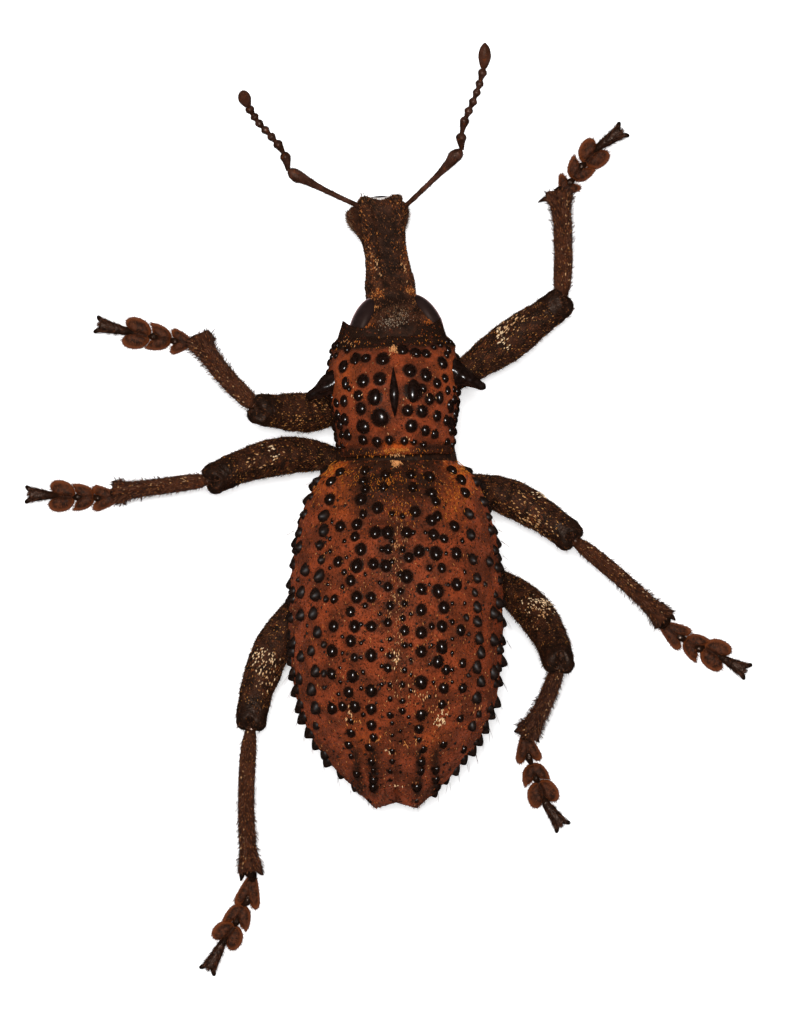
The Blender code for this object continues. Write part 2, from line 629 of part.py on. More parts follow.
def build_tarsus(leg, tibia_end, tibia_ahead):
    """Three heart-shaped pads, the claw joint and its two claws, as one body on the floor."""
    first = Vector((*LEGS[leg]["pad"], 0))
    tip = Vector((*LEGS[leg]["claws"], 0))
    along = (tip - first).normalized()
    reach = (tip - first).length - CLAW[1]
    across = Vector((along.y, -along.x, 0))
    pads = [tarsus_pad(first + along * pitch + across * PAD_STAGGER * (i - 1), along, *size)
            for i, (pitch, size) in enumerate(zip(PAD_PITCH, PAD_SIZES))]
    start = tibia_end + tibia_ahead * GAP
    path = [start, start + tibia_ahead * ANKLE_LENGTH]
    path += [first + along * pitch + TARSUS_LIFT for pitch in PAD_PITCH]
    path += [first + along * y + TARSUS_LIFT * CLAW_JOINT_RISE
             for y in (reach - CLAW_JOINT_LENGTH, reach)]
    core = tube("core", path, TARSUS_GIRTHS, "tarsus", sides=7)
    claw_radius, claw_length = CLAW
    claws = []
    for side in (-1, 1):
        lean = along + across * side * math.sin(math.radians(CLAW_SPREAD_DEG))
        root = first + along * (reach + side * PAD_STAGGER) + across * side * CLAW_OFFSET
        claws.append(cone("claw", root + TARSUS_LIFT, lean - TARSUS_LIFT, claw_radius,
                          CLAW_TIP_RADIUS, claw_length, CLAW_SINK))
    tarsus = pads.pop(0)
    tarsus.name = "tarsus_" + leg
    fuse(tarsus, pads + [core] + claws)
    set_origin(tarsus, tibia_end)


def build_leg(leg):
    """One leg as coxa, femur, tibia and tarsus, each meeting the next across the gap."""
    spec = {key: Vector(LEGS[leg][key]) for key in ("coxa", "bend", "knee", "ankle")}
    coxa = ball("coxa_" + leg, spec["coxa"], (COXA_RADIUS,) * 3, "leg", sides=10, rings=6)
    set_origin(coxa, spec["coxa"])
    root = spec["coxa"] - Vector((0, 0, FEMUR_DROP))
    begin = 0.0
    while (bezier(root, spec["bend"], spec["knee"], begin) - spec["coxa"]).length < (
            COXA_RADIUS + GAP):
        begin += 0.005
    shares = [begin + (1 - begin) * i / (FEMUR_RINGS - 1) for i in range(FEMUR_RINGS)]
    path = [bezier(root, spec["bend"], spec["knee"], share) for share in shares]
    stout = GIRTHS[leg.split("_")[0]]
    girths = [smooth(FEMUR_GIRTH, i / (FEMUR_RINGS - 1)) for i in range(FEMUR_RINGS)]
    girths = [KNEE_RADIUS + (girth - KNEE_RADIUS) * stout for girth in girths]
    ahead = (path[-1] - path[-2]).normalized()
    for beyond, girth in KNEE_CAP:
        path.append(spec["knee"] + ahead * beyond)
        girths.append(girth)
    femur = tube("femur_" + leg, path, girths)
    set_origin(femur, path[0])

    ahead = (spec["ankle"] - spec["knee"]).normalized()
    start = spec["knee"] + ahead * (KNEE_RADIUS + GAP)
    while any((start - point).length < girth + TIBIA_GIRTH[0][1] * 0.7 + GAP
              for point, girth in zip(path[:FEMUR_RINGS - 1], girths)):
        start += ahead * 0.05
    side = ahead.cross(Vector((0, 0, 1))).normalized()
    middle = start.lerp(spec["ankle"], 0.5) + side * 2 * LEGS[leg]["bow"]
    shares = [i / (TIBIA_RINGS - 1) for i in range(TIBIA_RINGS)]
    path = [bezier(start, middle, spec["ankle"], share) for share in shares]
    girths = [smooth(TIBIA_GIRTH, share) for share in shares]
    tibia = tube("tibia_" + leg, path, girths, sides=TIBIA_SIDES, flatness=TIBIA_FLATNESS)
    mucro_radius, mucro_length = MUCRO
    inward = Vector((MIDLINE_X, spec["ankle"].y, 0)) - spec["ankle"]
    side = side if side.dot(inward) > 0 else -side
    root = spec["ankle"] + side * MUCRO_OUT - ahead * MUCRO_BACK
    fuse(tibia, [cone("mucro", root, ahead + side * MUCRO_LEAN, mucro_radius, SPINE_TIP_RADIUS,
                      mucro_length, CLAW_SINK)])
    set_origin(tibia, start)
    build_tarsus(leg, spec["ankle"], ahead)


def build_antenna(side):
    """One antenna as its scape, its beaded funicle and its club."""
    root, elbow, bow, tip = (Vector(ANTENNAE[side][key]) for key in ("root", "elbow", "bow",
                                                                     "tip"))
    steps = 8
    path = [root.lerp(elbow, i / steps) for i in range(steps + 1)]
    scape = tube("scape_" + side, path, [smooth(SCAPE_GIRTH, i / steps)
                                         for i in range(steps + 1)], "antenna", sides=8)
    set_origin(scape, root)
    ahead = (bow - elbow).normalized()
    start = elbow + ahead * (SCAPE_GIRTH[-1][1] + GAP)
    beads = []
    count = FUNICLE_BEADS
    end_share = 1 - CLUB_SHARE
    for i in range(count):
        share = end_share * (i + 0.5) / count
        place = bezier(start, bow, tip, share)
        turn = (bezier(start, bow, tip, share + 0.02) - place).to_track_quat("Z", "Y").to_euler()
        half = end_share / count * (tip - start).length * BEAD_STRETCH
        beads.append(ball("bead", place, (BEAD_RADIUS, BEAD_RADIUS, half), "antenna",
                          turn=[math.degrees(a) for a in turn], sides=7, rings=5))
    core_path = [bezier(start, bow, tip, end_share * i / 5) for i in range(6)]
    core = tube("funicle_" + side, core_path, [FUNICLE_CORE] * 6, "antenna", sides=6)
    fuse(core, beads)
    set_origin(core, start)
    gap_share = end_share + 1.2 * GAP / (tip - start).length
    path = [bezier(start, bow, tip, gap_share + (1 - gap_share) * i / 6) for i in range(7)]
    club = tube("club_" + side, path, [smooth(CLUB_GIRTH, i / 6) for i in range(7)], "antenna",
                sides=8)
    set_origin(club, path[0])


def main():
    """Build every part of the animal and hang them all on one empty."""
    clear_scene()
    group = bpy.data.collections.new("weevil")
    for collection in (group, bpy.data.collections.new("cutters")):
        bpy.context.scene.collection.children.link(collection)
    build_elytra()
    build_underside()
    build_prothorax()
    build_head()
    for leg in LEGS:
        build_leg(leg)
    for side in ANTENNAE:
        build_antenna(side)
    stance = bpy.data.objects.new("weevil_stance", None)
    group.objects.link(stance)
    for obj in group.objects:
        if obj is not stance:
            obj.parent = stance


main()
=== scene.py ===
"""The looks of a life-size donkeyface weevil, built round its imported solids.

Sizes are written in millimetres and made metres where a mesh is built. +Y is the way the rostrum
points, +X is the animal's right and +Z is up. Each sub-assembly is a class that holds its sizes
and builds its own skins, bosses, scales and bristles. A place runs from 0 to 1 along a part, and
an angle goes round it from straight up, towards the animal's right.
"""

from __future__ import annotations

import logging
import math
from dataclasses import dataclass, field
from enum import Enum
from functools import reduce
from typing import Iterable, Sequence

import bpy
import numpy as np
from mathutils import Euler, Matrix
from mathutils.kdtree import KDTree


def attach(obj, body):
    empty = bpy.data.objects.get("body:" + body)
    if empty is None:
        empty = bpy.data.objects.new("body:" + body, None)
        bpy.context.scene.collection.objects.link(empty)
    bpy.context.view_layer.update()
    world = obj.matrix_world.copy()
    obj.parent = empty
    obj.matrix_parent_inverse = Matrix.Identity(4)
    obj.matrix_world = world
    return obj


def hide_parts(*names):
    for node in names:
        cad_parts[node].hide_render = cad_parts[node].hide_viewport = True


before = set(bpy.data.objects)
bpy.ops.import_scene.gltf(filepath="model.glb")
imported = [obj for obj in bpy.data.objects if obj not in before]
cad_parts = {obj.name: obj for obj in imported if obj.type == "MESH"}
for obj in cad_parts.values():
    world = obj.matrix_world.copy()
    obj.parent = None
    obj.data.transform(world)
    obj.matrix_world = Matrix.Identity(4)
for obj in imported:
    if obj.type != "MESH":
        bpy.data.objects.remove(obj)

Array = np.ndarray
Object = bpy.types.Object
Socket = bpy.types.NodeSocket
Stations = tuple[tuple[float, float], ...]
Spots = tuple[tuple[float, float], ...]
Place = tuple[float, float, float]
Box = tuple[float, float, float, float]

LOG = logging.getLogger("weevil")
UP = np.array([0, 0, 1.0])
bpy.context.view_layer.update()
MM = 0.001
MIDLINE_X = 0.41
# How deep the skin lies under the solids' surface, which is where the scales' tips reach.
COAT_DEPTH = 0.04
# How wide one scale's or bristle's own patch is on the coat's unwrap.
TUFT_PATCH = 0.003


class Slot(Enum):
    """The material slots."""

    WING_CASES = "wing_cases"
    PRONOTUM = "pronotum"
    UNDERSIDE = "underside"
    HEAD = "head"
    EYE = "eye"
    LEG = "leg"
    TARSUS = "tarsus"
    ANTENNA = "antenna"


# Curves and surfaces


@dataclass(frozen=True)
class Curve:
    """A smooth curve through (place, value) stations."""

    stations: Stations

    def at(self, place: Array | float) -> Array:
        """The curve's values.

        Args:
            place: one place or an array of them.

        Returns:
            The value at each place, level beyond both ends.
        """
        place = np.asarray(place, float)
        xs = np.array([station[0] for station in self.stations])
        ys = np.array([station[1] for station in self.stations])
        last = len(xs) - 1
        i = np.clip(np.searchsorted(xs, place, side="left") - 1, 0, last - 1)
        before, after = np.maximum(i - 1, 0), np.minimum(i + 2, last)
        slope_a = (ys[i + 1] - ys[before]) / (xs[i + 1] - xs[before])
        slope_b = (ys[after] - ys[i]) / (xs[after] - xs[i])
        span = xs[i + 1] - xs[i]
        s = np.clip((place - xs[i]) / span, 0, 1)
        rise = span * (slope_a * s * (1 - s) ** 2 - slope_b * s * s * (1 - s))
        return ys[i] + (ys[i + 1] - ys[i]) * s * s * (3 - 2 * s) + rise


def step(low: float, high: float, value: Array) -> Array:
    """A soft step.

    Args:
        low: where it starts.
        high: where it ends; below low for a falling step.
        value: where to read it.

    Returns:
        0 before low, 1 after high and a smooth rise between them.
    """
    s = np.clip((np.asarray(value, float) - low) / (high - low), 0, 1)
    return s * s * (3 - 2 * s)


def bell(value: Array, middle: Array | float, spread: float) -> Array:
    """A bell-shaped bump of height 1 round a middle."""
    return np.exp(-(((value - middle) / spread) ** 2))


def unit(vectors: Array) -> Array:
    """The vectors at length 1."""
    return vectors / np.maximum(np.linalg.norm(vectors, axis=-1, keepdims=True), 1e-12)


def stack(*parts: Array | float) -> Array:
    """The parts side by side, as the coordinates of points."""
    return np.stack(np.broadcast_arrays(*parts), axis=-1)


def most(*parts: Array | float) -> Array:
    """The greatest of the parts at every point."""
    return reduce(np.maximum, parts)


def joined(rows: Iterable[Sequence[Array]]) -> list[Array]:
    """Rows of arrays, joined end to end column by column."""
    return [np.concatenate(column) for column in zip(*rows)]


def angles_round(sides: int) -> Array:
    """Evenly spaced angles, once round."""
    return math.tau * np.arange(sides) / sides


@dataclass(frozen=True)
class Ripple:
    """Gentle unevenness of a surface: a sum of seeded plane waves."""

    length: float
    height: float
    seed: int
    waves: int = 9

    def at(self, points: Array) -> Array:
        """The height of the unevenness at points in mm."""
        draw = np.random.default_rng(self.seed)
        total = np.zeros(points.shape[:-1])
        for _ in range(self.waves):
            way = unit(draw.normal(size=3)) * math.tau / (self.length * draw.uniform(0.6, 1.5))
            total += np.sin(points @ way + draw.uniform(0, math.tau))
        return total * self.height / math.sqrt(self.waves)


def outline(width: Array, top: Array, middle: Array, under: Array, roundness: tuple[float, float],
            angle: Array) -> tuple[Array, Array]:
    """A body's cross-section.

    Args:
        width: half width.
        top: height of the back.
        middle: height of the widest place.
        under: height of the underside.
        roundness: power of the outline above and below the middle, 2 being an ellipse.
        angle: angle from straight up.

    Returns:
        How far across and how high the outline is.
    """
    across, upward = np.sin(angle), np.cos(angle)
    power = 2 / np.where(upward > 0, roundness[0], roundness[1])
    reach = np.where(upward > 0, top - middle, middle - under)
    x = np.sign(across) * np.abs(across) ** power * width
    return x, middle + np.sign(upward) * np.abs(upward) ** power * reach


@dataclass(frozen=True)
class Form:
    """A body part lofted along its own axis from four smooth profiles."""

    width: Curve
    top: Curve
    middle: Curve
    under: Curve
    roundness: tuple[float, float]
    # 1 where places run from front to rear, -1 where they run forwards.
    rearward: int = 1

    def point(self, place: Array, angle: Array) -> Array:
        """The surface point in mm at each place and angle."""
        raise NotImplementedError

    def cross_section(self, place: Array, angle: Array) -> tuple[Array, Array]:
        """How far across and how high the surface is at each place and angle."""
        return outline(self.width.at(place), self.top.at(place), self.middle.at(place),
                       self.under.at(place), self.roundness, angle)

    def angle_across(self, place: Array, across: Array) -> Array:
        """The angle on the back that lies that far from the midline."""
        share = np.clip(across / self.width.at(place), -0.999, 0.999)
        return np.sign(share) * np.arcsin(np.abs(share) ** (self.roundness[0] / 2))

    def stand(self, place: Array, angle: Array) -> tuple[Array, Array, Array]:
        """Where things stand on the surface.

        Args:
            place: places along the part.
            angle: angles round it.

        Returns:
            The points, the outward directions, and the direction that the coat lies in.
        """
        tiny = 0.004
        place, angle = np.broadcast_arrays(np.asarray(place, float), np.asarray(angle, float))
        low, high = np.clip(place - tiny, 0, 1), np.clip(place + tiny, 0, 1)
        along = self.point(high, angle) - self.point(low, angle)
        around = self.point(place, angle + tiny) - self.point(place, angle - tiny)
        points = self.point(place, angle)
        centre = (self.point(place, angle * 0) + self.point(place, angle * 0 + math.pi)) / 2
        normal = unit(np.cross(along, around))
        facing = np.sum(normal * (points - centre), axis=-1, keepdims=True)
        return points, normal * np.where(facing < 0, -1, 1), unit(along) * self.rearward


@dataclass(frozen=True)
class HindForm(Form):
    """The hind body: the wing cases and all that they cover."""

    front_y: float = 2.37
    length: float = 17.1
    edge_z: float = 4.0
    notch: float = 0.9
    notch_start: float = 0.85
    lobe_x: float = 0.98

    def dip(self, x: Array, place: Array) -> Array:
        """How far forward the notch between the two tips takes a point across from the middle."""
        near_tip = np.maximum(0, (place - self.notch_start) / (1 - self.notch_start))
        return np.maximum(0, 1 - np.abs(x) / self.lobe_x) * self.notch * near_tip ** 2

    def point(self, place: Array, angle: Array) -> Array:
        """The surface point in mm, notched between the two tips."""
        x, z = self.cross_section(place, angle)
        y = self.front_y - self.length * place + self.dip(x, place)
        return stack(MIDLINE_X + x, y, z)

    def edge_angle(self, place: Array) -> Array:
        """The angle at which the wing cases end and the underside begins."""
        middle, under = self.middle.at(place), self.under.at(place)
        share = np.clip((middle - self.edge_z) / (middle - under), 0, 1)
        return math.pi - np.arccos(share ** (self.roundness[1] / 2))

    def closed(self, outer: Array, place: Array, count: int, bow: float) -> Array:
        """Open rings, closed on their hidden side by count points that bow upwards in mm."""
        back = np.linspace(0.03, 0.97, count)[None, :, None]
        inner = outer[:, -1:] * (1 - back) + outer[:, :1] * back
        inner[..., 1] += self.dip(inner[..., 0] - MIDLINE_X, place)
        inner[..., 2] += bow * np.sin(math.pi * back[..., 0])
        return np.concatenate([outer, inner], axis=1)


@dataclass(frozen=True)
class ProthoraxForm(Form):
    """The prothorax, turned a little to the left of the hind body."""

    rear_y: float = 2.62
    length: float = 5.85
    yaw: float = math.radians(2)

    def point(self, place: Array, angle: Array) -> Array:
        """The surface point in mm."""
        x, z = self.cross_section(place, angle)
        along = self.length * place
        return stack(MIDLINE_X + x * math.cos(self.yaw) - along * math.sin(self.yaw),
                     self.rear_y + along * math.cos(self.yaw) + x * math.sin(self.yaw), z)


HIND = HindForm(
    width=Curve(((0, 2.9), (0.04, 3.65), (0.1, 4.3), (0.2, 4.85), (0.32, 5.15), (0.45, 5.25),
                 (0.58, 5.18), (0.7, 4.82), (0.8, 4.1), (0.88, 3.1), (0.95, 1.95), (1, 1.05))),
    top=Curve(((0, 7.9), (0.1, 9.1), (0.25, 10.05), (0.42, 10.4), (0.58, 10.2), (0.72, 9.25),
               (0.84, 7.6), (0.93, 5.9), (1, 4.75))),
    middle=Curve(((0, 5.4), (0.4, 5.3), (0.8, 4.7), (1, 4.15))),
    under=Curve(((0, 3.35), (0.12, 2.9), (0.3, 2.7), (0.6, 2.35), (0.85, 2.6), (1, 3.45))),
    roundness=(2.15, 2.3))
PROTHORAX = ProthoraxForm(
    width=Curve(((0, 2.7), (0.1, 2.85), (0.3, 3.0), (0.5, 3.15), (0.7, 3.2), (0.86, 3.05),
                 (0.95, 2.9), (1, 2.72))),
    top=Curve(((0, 8.0), (0.15, 8.5), (0.45, 8.9), (0.7, 8.6), (0.88, 7.9), (1, 7.3))),
    middle=Curve(((0, 5.6), (1, 5.4))),
    under=Curve(((0, 3.45), (0.3, 3.1), (0.7, 3.15), (1, 3.6))),
    roundness=(2.1, 2.1), rearward=-1)


# Meshes


class Shell:
    """Closed lofts gathered into one mesh, with the values that its finish and coat read."""

    def __init__(self, name: str) -> None:
        """An empty shell that will bear this name."""
        self.name = name
        self.points: list[Array] = []
        self.quads: list[Array] = []
        self.fans: list[Array] = []
        self.quad_uv: list[Array] = []
        self.fan_uv: list[Array] = []
        self.values: dict[str, list[Array]] = {}
        self.count = 0

    def add(self, rings: Array, box: Box = (0, 0, 1, 1), rearward: int = 1,
            **values: Array | float) -> None:
        """Add one closed loft.

        Args:
            rings: points in mm, shaped (rings, sides, 3), closed by a fan at each end.
            box: the loft's own part of the unwrap, as left, low, right and high.
            rearward: 1 where the coat lies towards the last ring, -1 towards the first.
            values: named numbers, alike all over or shaped to spread over (rings, sides).
        """
        count, sides, _ = rings.shape
        poles = rings[[0, -1]].mean(axis=1)
        index = np.arange(count * sides).reshape(count, sides) + self.count
        after = np.roll(index, -1, axis=1)
        quads = np.stack([index[:-1], after[:-1], after[1:], index[1:]], axis=-1).reshape(-1, 4)
        first, last = self.count + count * sides, self.count + count * sides + 1
        fans = np.concatenate([
            np.stack([after[0], index[0], np.full(sides, first)], axis=-1),
            np.stack([index[-1], after[-1], np.full(sides, last)], axis=-1)])
        points = np.concatenate([rings.reshape(-1, 3), poles])
        flat = np.concatenate([quads[:, [0, 1, 2]], quads[:, [0, 2, 3]], fans]) - self.count
        corner = points[flat]
        inside_out = np.sum(corner[:, 0] * np.cross(corner[:, 1], corner[:, 2])) < 0

        left, low, right, high = box
        u = left + (right - left) * np.arange(sides + 1) / sides
        rise = np.linalg.norm(np.diff(rings, axis=0), axis=-1).mean(axis=1)
        v = low + (high - low) * (0.02 + 0.96 * np.concatenate([[0], np.cumsum(rise)]) / rise.sum())
        grid = stack(u[None, :], v[:, None])
        quad_uv = np.stack([grid[:-1, :-1], grid[:-1, 1:], grid[1:, 1:], grid[1:, :-1]], axis=2)
        centre = (u[:-1] + u[1:]) / 2
        fan_uv = np.concatenate([
            np.stack([grid[0, 1:], grid[0, :-1], stack(centre, low)], axis=1),
            np.stack([grid[-1, :-1], grid[-1, 1:], stack(centre, high)], axis=1)])
        quad_uv = quad_uv.reshape(-1, 4, 2)
        if inside_out:
            quads, quad_uv = quads[:, ::-1], quad_uv[:, ::-1]
            fans, fan_uv = fans[:, ::-1], fan_uv[:, ::-1]
        self.points.append(points)
        self.quads.append(quads)
        self.fans.append(fans)
        self.quad_uv.append(quad_uv)
        self.fan_uv.append(fan_uv)

        values["lie"] = unit(np.gradient(rings, axis=0) * rearward)
        for name, value in values.items():
            value = np.asarray(value, float)
            value = np.broadcast_to(value, rings.shape[:2] + value.shape[2:])
            ends = value[[0, -1]].mean(axis=1)
            flat_value = value.reshape((-1,) + value.shape[2:])
            self.values.setdefault(name, []).append(np.concatenate([flat_value, ends]))
        self.count += len(points)

    def build(self) -> Object:
        """The finished object, with smooth faces, its unwrap and its named values."""
        mesh = bpy.data.meshes.new(self.name)
        quads, fans = np.concatenate(self.quads), np.concatenate(self.fans)
        mesh.from_pydata((np.concatenate(self.points) * MM).tolist(), [],
                         quads.tolist() + fans.tolist())
        mesh.shade_smooth()
        corners = np.concatenate([np.concatenate(self.quad_uv).reshape(-1, 2),
                                  np.concatenate(self.fan_uv).reshape(-1, 2)])
        unwrap = mesh.uv_layers.new(name="OFBake")
        unwrap.data.foreach_set("uv", corners.astype(np.float32).ravel())
        for name, parts in self.values.items():
            note(mesh, name, np.concatenate(parts))
        return linked(self.name, mesh)


def linked(name: str, mesh: bpy.types.Mesh) -> Object:
    """A new object in the scene that shows a mesh."""
    obj = bpy.data.objects.new(name, mesh)
    bpy.context.scene.collection.objects.link(obj)
    return obj


def note(mesh: bpy.types.Mesh, name: str, value: Array) -> None:
    """Write a named number, or a vector, at each point of a mesh."""
    kind = "FLOAT" if value.ndim == 1 else "FLOAT_VECTOR"
    attribute = mesh.attributes.new(name, kind, "POINT")
    key = "value" if value.ndim == 1 else "vector"
    attribute.data.foreach_set(key, value.astype(np.float32).ravel())


def limb_rings(path: Array, girth: Array, sides: int, flatness: float = 1.0,
               up: Sequence[float] = (0, 0, 1)) -> tuple[Array, Array, Array]:
    """Rings round a path.

    Args:
        path: points in mm.
        girth: the radius at each point.
        sides: points in a ring.
        flatness: how much wider than high the limb is.
        up: the side of the limb that angle 0 is on.

    Returns:
        The rings, the outward direction at each of their points, and the angles round the limb.
    """
    ahead = unit(np.gradient(path, axis=0))
    side = unit(np.cross(ahead, np.asarray(up, float)))
    rise = np.cross(side, ahead)
    angle = angles_round(sides)
    spread = (side[:, None] * np.sin(angle)[None, :, None] * flatness
              + rise[:, None] * np.cos(angle)[None, :, None])
    rings = path[:, None] + spread * np.asarray(girth, float)[:, None, None]
    return rings, unit(spread), angle


def ball(rows: int, sides: int, margin: float) -> Array:
    """The rings of a ball of radius 1, from that near its top to that near its bottom."""
    polar = np.linspace(margin, math.pi - margin, rows)[:, None]
    around = angles_round(sides)[None, :]
    return stack(np.sin(polar) * np.cos(around), np.sin(polar) * np.sin(around), np.cos(polar))


def bent(start: Array, bend: Array, end: Array, share: Array) -> Array:
    """Points of the curve from start to end that a bend point pulls aside."""
    share = np.asarray(share, float)[:, None]
    return start * (1 - share) ** 2 + bend * 2 * share * (1 - share) + end * share ** 2


def rounded_end(girth: Array, reach: float) -> tuple[Array, Array]:
    """How a blunt end closes.

    Args:
        girth: the radius where the rounding starts.
        reach: how far the end goes on beyond it.

    Returns:
        Distances beyond the end and the radius at each.
    """
    turn = np.linspace(0.15, 0.98, 8) * math.pi / 2
    return reach * np.sin(turn), girth * np.cos(turn) ** 0.8


# Node trees


class Nodes:
    """Short hand for making a tree of nodes."""

    def __init__(self, tree: bpy.types.NodeTree) -> None:
        """Work on this tree."""
        self.tree = tree

    def add(self, kind: str, inputs: dict[str, object] | None = None,
            **settings: object) -> bpy.types.Node:
        """Add a node.

        Args:
            kind: the node's type name.
            inputs: values or sockets for its inputs, by name.
            settings: the node's own properties.

        Returns:
            The new node.
        """
        node = self.tree.nodes.new(kind)
        for name, value in settings.items():
            setattr(node, name, value)
        for name, value in (inputs or {}).items():
            socket = next(s for s in node.inputs if s.name == name and s.enabled)
            self.feed(socket, value)
        return node

    def feed(self, socket: Socket, value: object) -> None:
        """Link a socket into an input, or set the input's own value."""
        if isinstance(value, bpy.types.NodeSocket):
            self.tree.links.new(value, socket)
        elif isinstance(value, bpy.types.Node):
            self.tree.links.new(next(s for s in value.outputs if s.enabled), socket)
        else:
            socket.default_value = value

    def maths(self, operation: str, first: object, second: object = 0.0) -> Socket:
        """The result of a sum on two numbers."""
        node = self.add("ShaderNodeMath", operation=operation)
        self.feed(node.inputs[0], first)
        self.feed(node.inputs[1], second)
        return node.outputs[0]


def planting_tree(strewn: bool) -> bpy.types.NodeTree:
    """The tree that sets a small shape on a skin.

    Args:
        strewn: whether it strews the shape over the faces of a skin, where the skin's cover lets
            it, or sets one on each point of a mesh that says how big each is and how it lies.

    Returns:
        The tree, with an input for each of its sizes.
    """
    tree = bpy.data.node_groups.new("strew" if strewn else "set", "GeometryNodeTree")
    nodes = Nodes(tree)
    sockets = [("Skin", "Geometry"), ("Sprig", "Object"), ("Finish", "Material"), ("Seed", "Int"),
               ("Patch", "Float"), ("Density", "Float"), ("Size", "Vector"), ("Variety", "Float"),
               ("Lift", "Float"), ("Turn", "Float")]
    for name, kind in sockets:
        tree.interface.new_socket(name, in_out="INPUT", socket_type="NodeSocket" + kind)
    tree.interface.new_socket("Planted", in_out="OUTPUT", socket_type="NodeSocketGeometry")
    given = nodes.add("NodeGroupInput").outputs
    seed = given["Seed"]

    def value(name: str, kind: str = "FLOAT") -> Socket:
        """A named value of the skin or points."""
        return nodes.add("GeometryNodeInputNamedAttribute", {"Name": name},
                         data_type=kind).outputs["Attribute"]

    def chance(low: object, high: object, more: int) -> Socket:
        """A number drawn between two limits, its draw set apart by a number."""
        node = nodes.add("FunctionNodeRandomValue",
                         {"Min": low, "Max": high, "Seed": nodes.maths("ADD", seed, more)},
                         data_type="FLOAT")
        return next(s for s in node.outputs if s.enabled)

    def scaled(vector: object, factor: object) -> Socket:
        """A vector times a number."""
        node = nodes.add("ShaderNodeVectorMath", {"Scale": factor}, operation="SCALE")
        nodes.feed(node.inputs[0], vector)
        return node.outputs[0]

    if strewn:
        density = nodes.maths("MULTIPLY", given["Density"], value("cover"))
        scatter = nodes.add("GeometryNodeDistributePointsOnFaces",
                            {"Mesh": given["Skin"], "Density": density, "Seed": seed})
        points, normal = scatter.outputs["Points"], scatter.outputs["Normal"]
        size = scaled(given["Size"], value("stature"))
    else:
        points, normal = given["Skin"], value("normal", "FLOAT_VECTOR")
        size = value("size", "FLOAT_VECTOR")
    least = nodes.maths("SUBTRACT", 1.0, given["Variety"])
    greatest = nodes.maths("ADD", 1.0, given["Variety"])
    varied = scaled(size, chance(least, greatest, 1))
    lie = nodes.add("FunctionNodeAxesToRotation",
                    {"Primary Axis": normal, "Secondary Axis": value("lie", "FLOAT_VECTOR")},
                    primary_axis="Z", secondary_axis="Y")
    aside = nodes.maths("MULTIPLY", given["Turn"], chance(-1.0, 1.0, 2))
    lifted = nodes.maths("MULTIPLY", given["Lift"], chance(0.5, 1.5, 3))
    euler = nodes.add("ShaderNodeCombineXYZ", {"X": lifted, "Z": aside})
    turned = nodes.add("FunctionNodeRotateRotation", {
        "Rotation": lie, "Rotate By": nodes.add("FunctionNodeEulerToRotation", {"Euler": euler})},
        rotation_space="LOCAL")
    sprig = nodes.add("GeometryNodeObjectInfo", {"Object": given["Sprig"]})
    planted = nodes.add("GeometryNodeInstanceOnPoints",
                        {"Points": points, "Instance": sprig.outputs["Geometry"],
                         "Rotation": turned, "Scale": varied})
    shaded = nodes.add("GeometryNodeStoreNamedAttribute",
                       {"Geometry": planted, "Name": "shade", "Value": chance(0.0, 1.0, 4)},
                       data_type="FLOAT", domain="INSTANCE")
    real = nodes.add("GeometryNodeRealizeInstances", {"Geometry": shaded})
    patch = nodes.add("ShaderNodeVectorMath", operation="MULTIPLY_ADD")
    nodes.feed(patch.inputs[0], value("patch", "FLOAT_VECTOR"))
    nodes.feed(patch.inputs[1], nodes.add("ShaderNodeCombineXYZ", {
        "X": given["Patch"], "Y": given["Patch"]}))
    nodes.feed(patch.inputs[2], value("OFBake", "FLOAT_VECTOR"))
    unwrapped = nodes.add("GeometryNodeStoreNamedAttribute",
                          {"Geometry": real, "Name": "OFBake", "Value": patch},
                          data_type="FLOAT2", domain="CORNER")
    dressed = nodes.add("GeometryNodeSetMaterial",
                        {"Geometry": unwrapped, "Material": given["Finish"]})
    nodes.add("NodeGroupOutput", {"Planted": dressed})
    return tree


@dataclass(frozen=True)
class Sprig:
    """A small closed shape that a tree sets many times, as long as 1 and lying along +Y."""

    name: str
    points: Array
    faces: tuple[tuple[int, ...], ...]

    def build(self) -> Object:
        """The shape as an object, each point with its own place on the sprig's patch."""
        mesh = bpy.data.meshes.new(self.name)
        mesh.from_pydata(self.points.tolist(), [], [list(face) for face in self.faces])
        mesh.shade_smooth()
        low, high = self.points.min(axis=0), self.points.max(axis=0)
        note(mesh, "patch", (self.points - (low + high) / 2) / (high - low).max())
        return linked(self.name, mesh)


def leaf() -> Sprig:
    """One scale: a flat pointed leaf with a raised middle."""
    points = np.array([[0, 0, 0], [-0.5, 0.45, 0.01], [0.5, 0.45, 0.01], [0, 1, 0.06],
                       [0, 0.5, 0.16]])
    return Sprig("leaf", points, ((0, 2, 4), (2, 3, 4), (3, 1, 4), (1, 0, 4), (0, 1, 3, 2)))


def hair() -> Sprig:
    """One bristle: a three-sided hair that bends a little back."""
    rings = []
    for along, rise, radius in ((0, 0, 0.5), (0.4, 0.05, 0.42), (0.75, 0.07, 0.25)):
        for k in range(3):
            angle = math.tau * k / 3
            rings.append([radius * math.cos(angle), along, rise + radius * math.sin(angle) * 0.06])
    rings.append([0, 1, 0.06])
    faces = [(2, 1, 0)]
    for ring in (0, 3):
        for k in range(3):
            after = (k + 1) % 3
            faces.append((ring + k, ring + after, ring + 3 + after, ring + 3 + k))
    faces += [(6 + k, 6 + (k + 1) % 3, 9) for k in range(3)]
    return Sprig("hair", np.array(rings), tuple(faces))


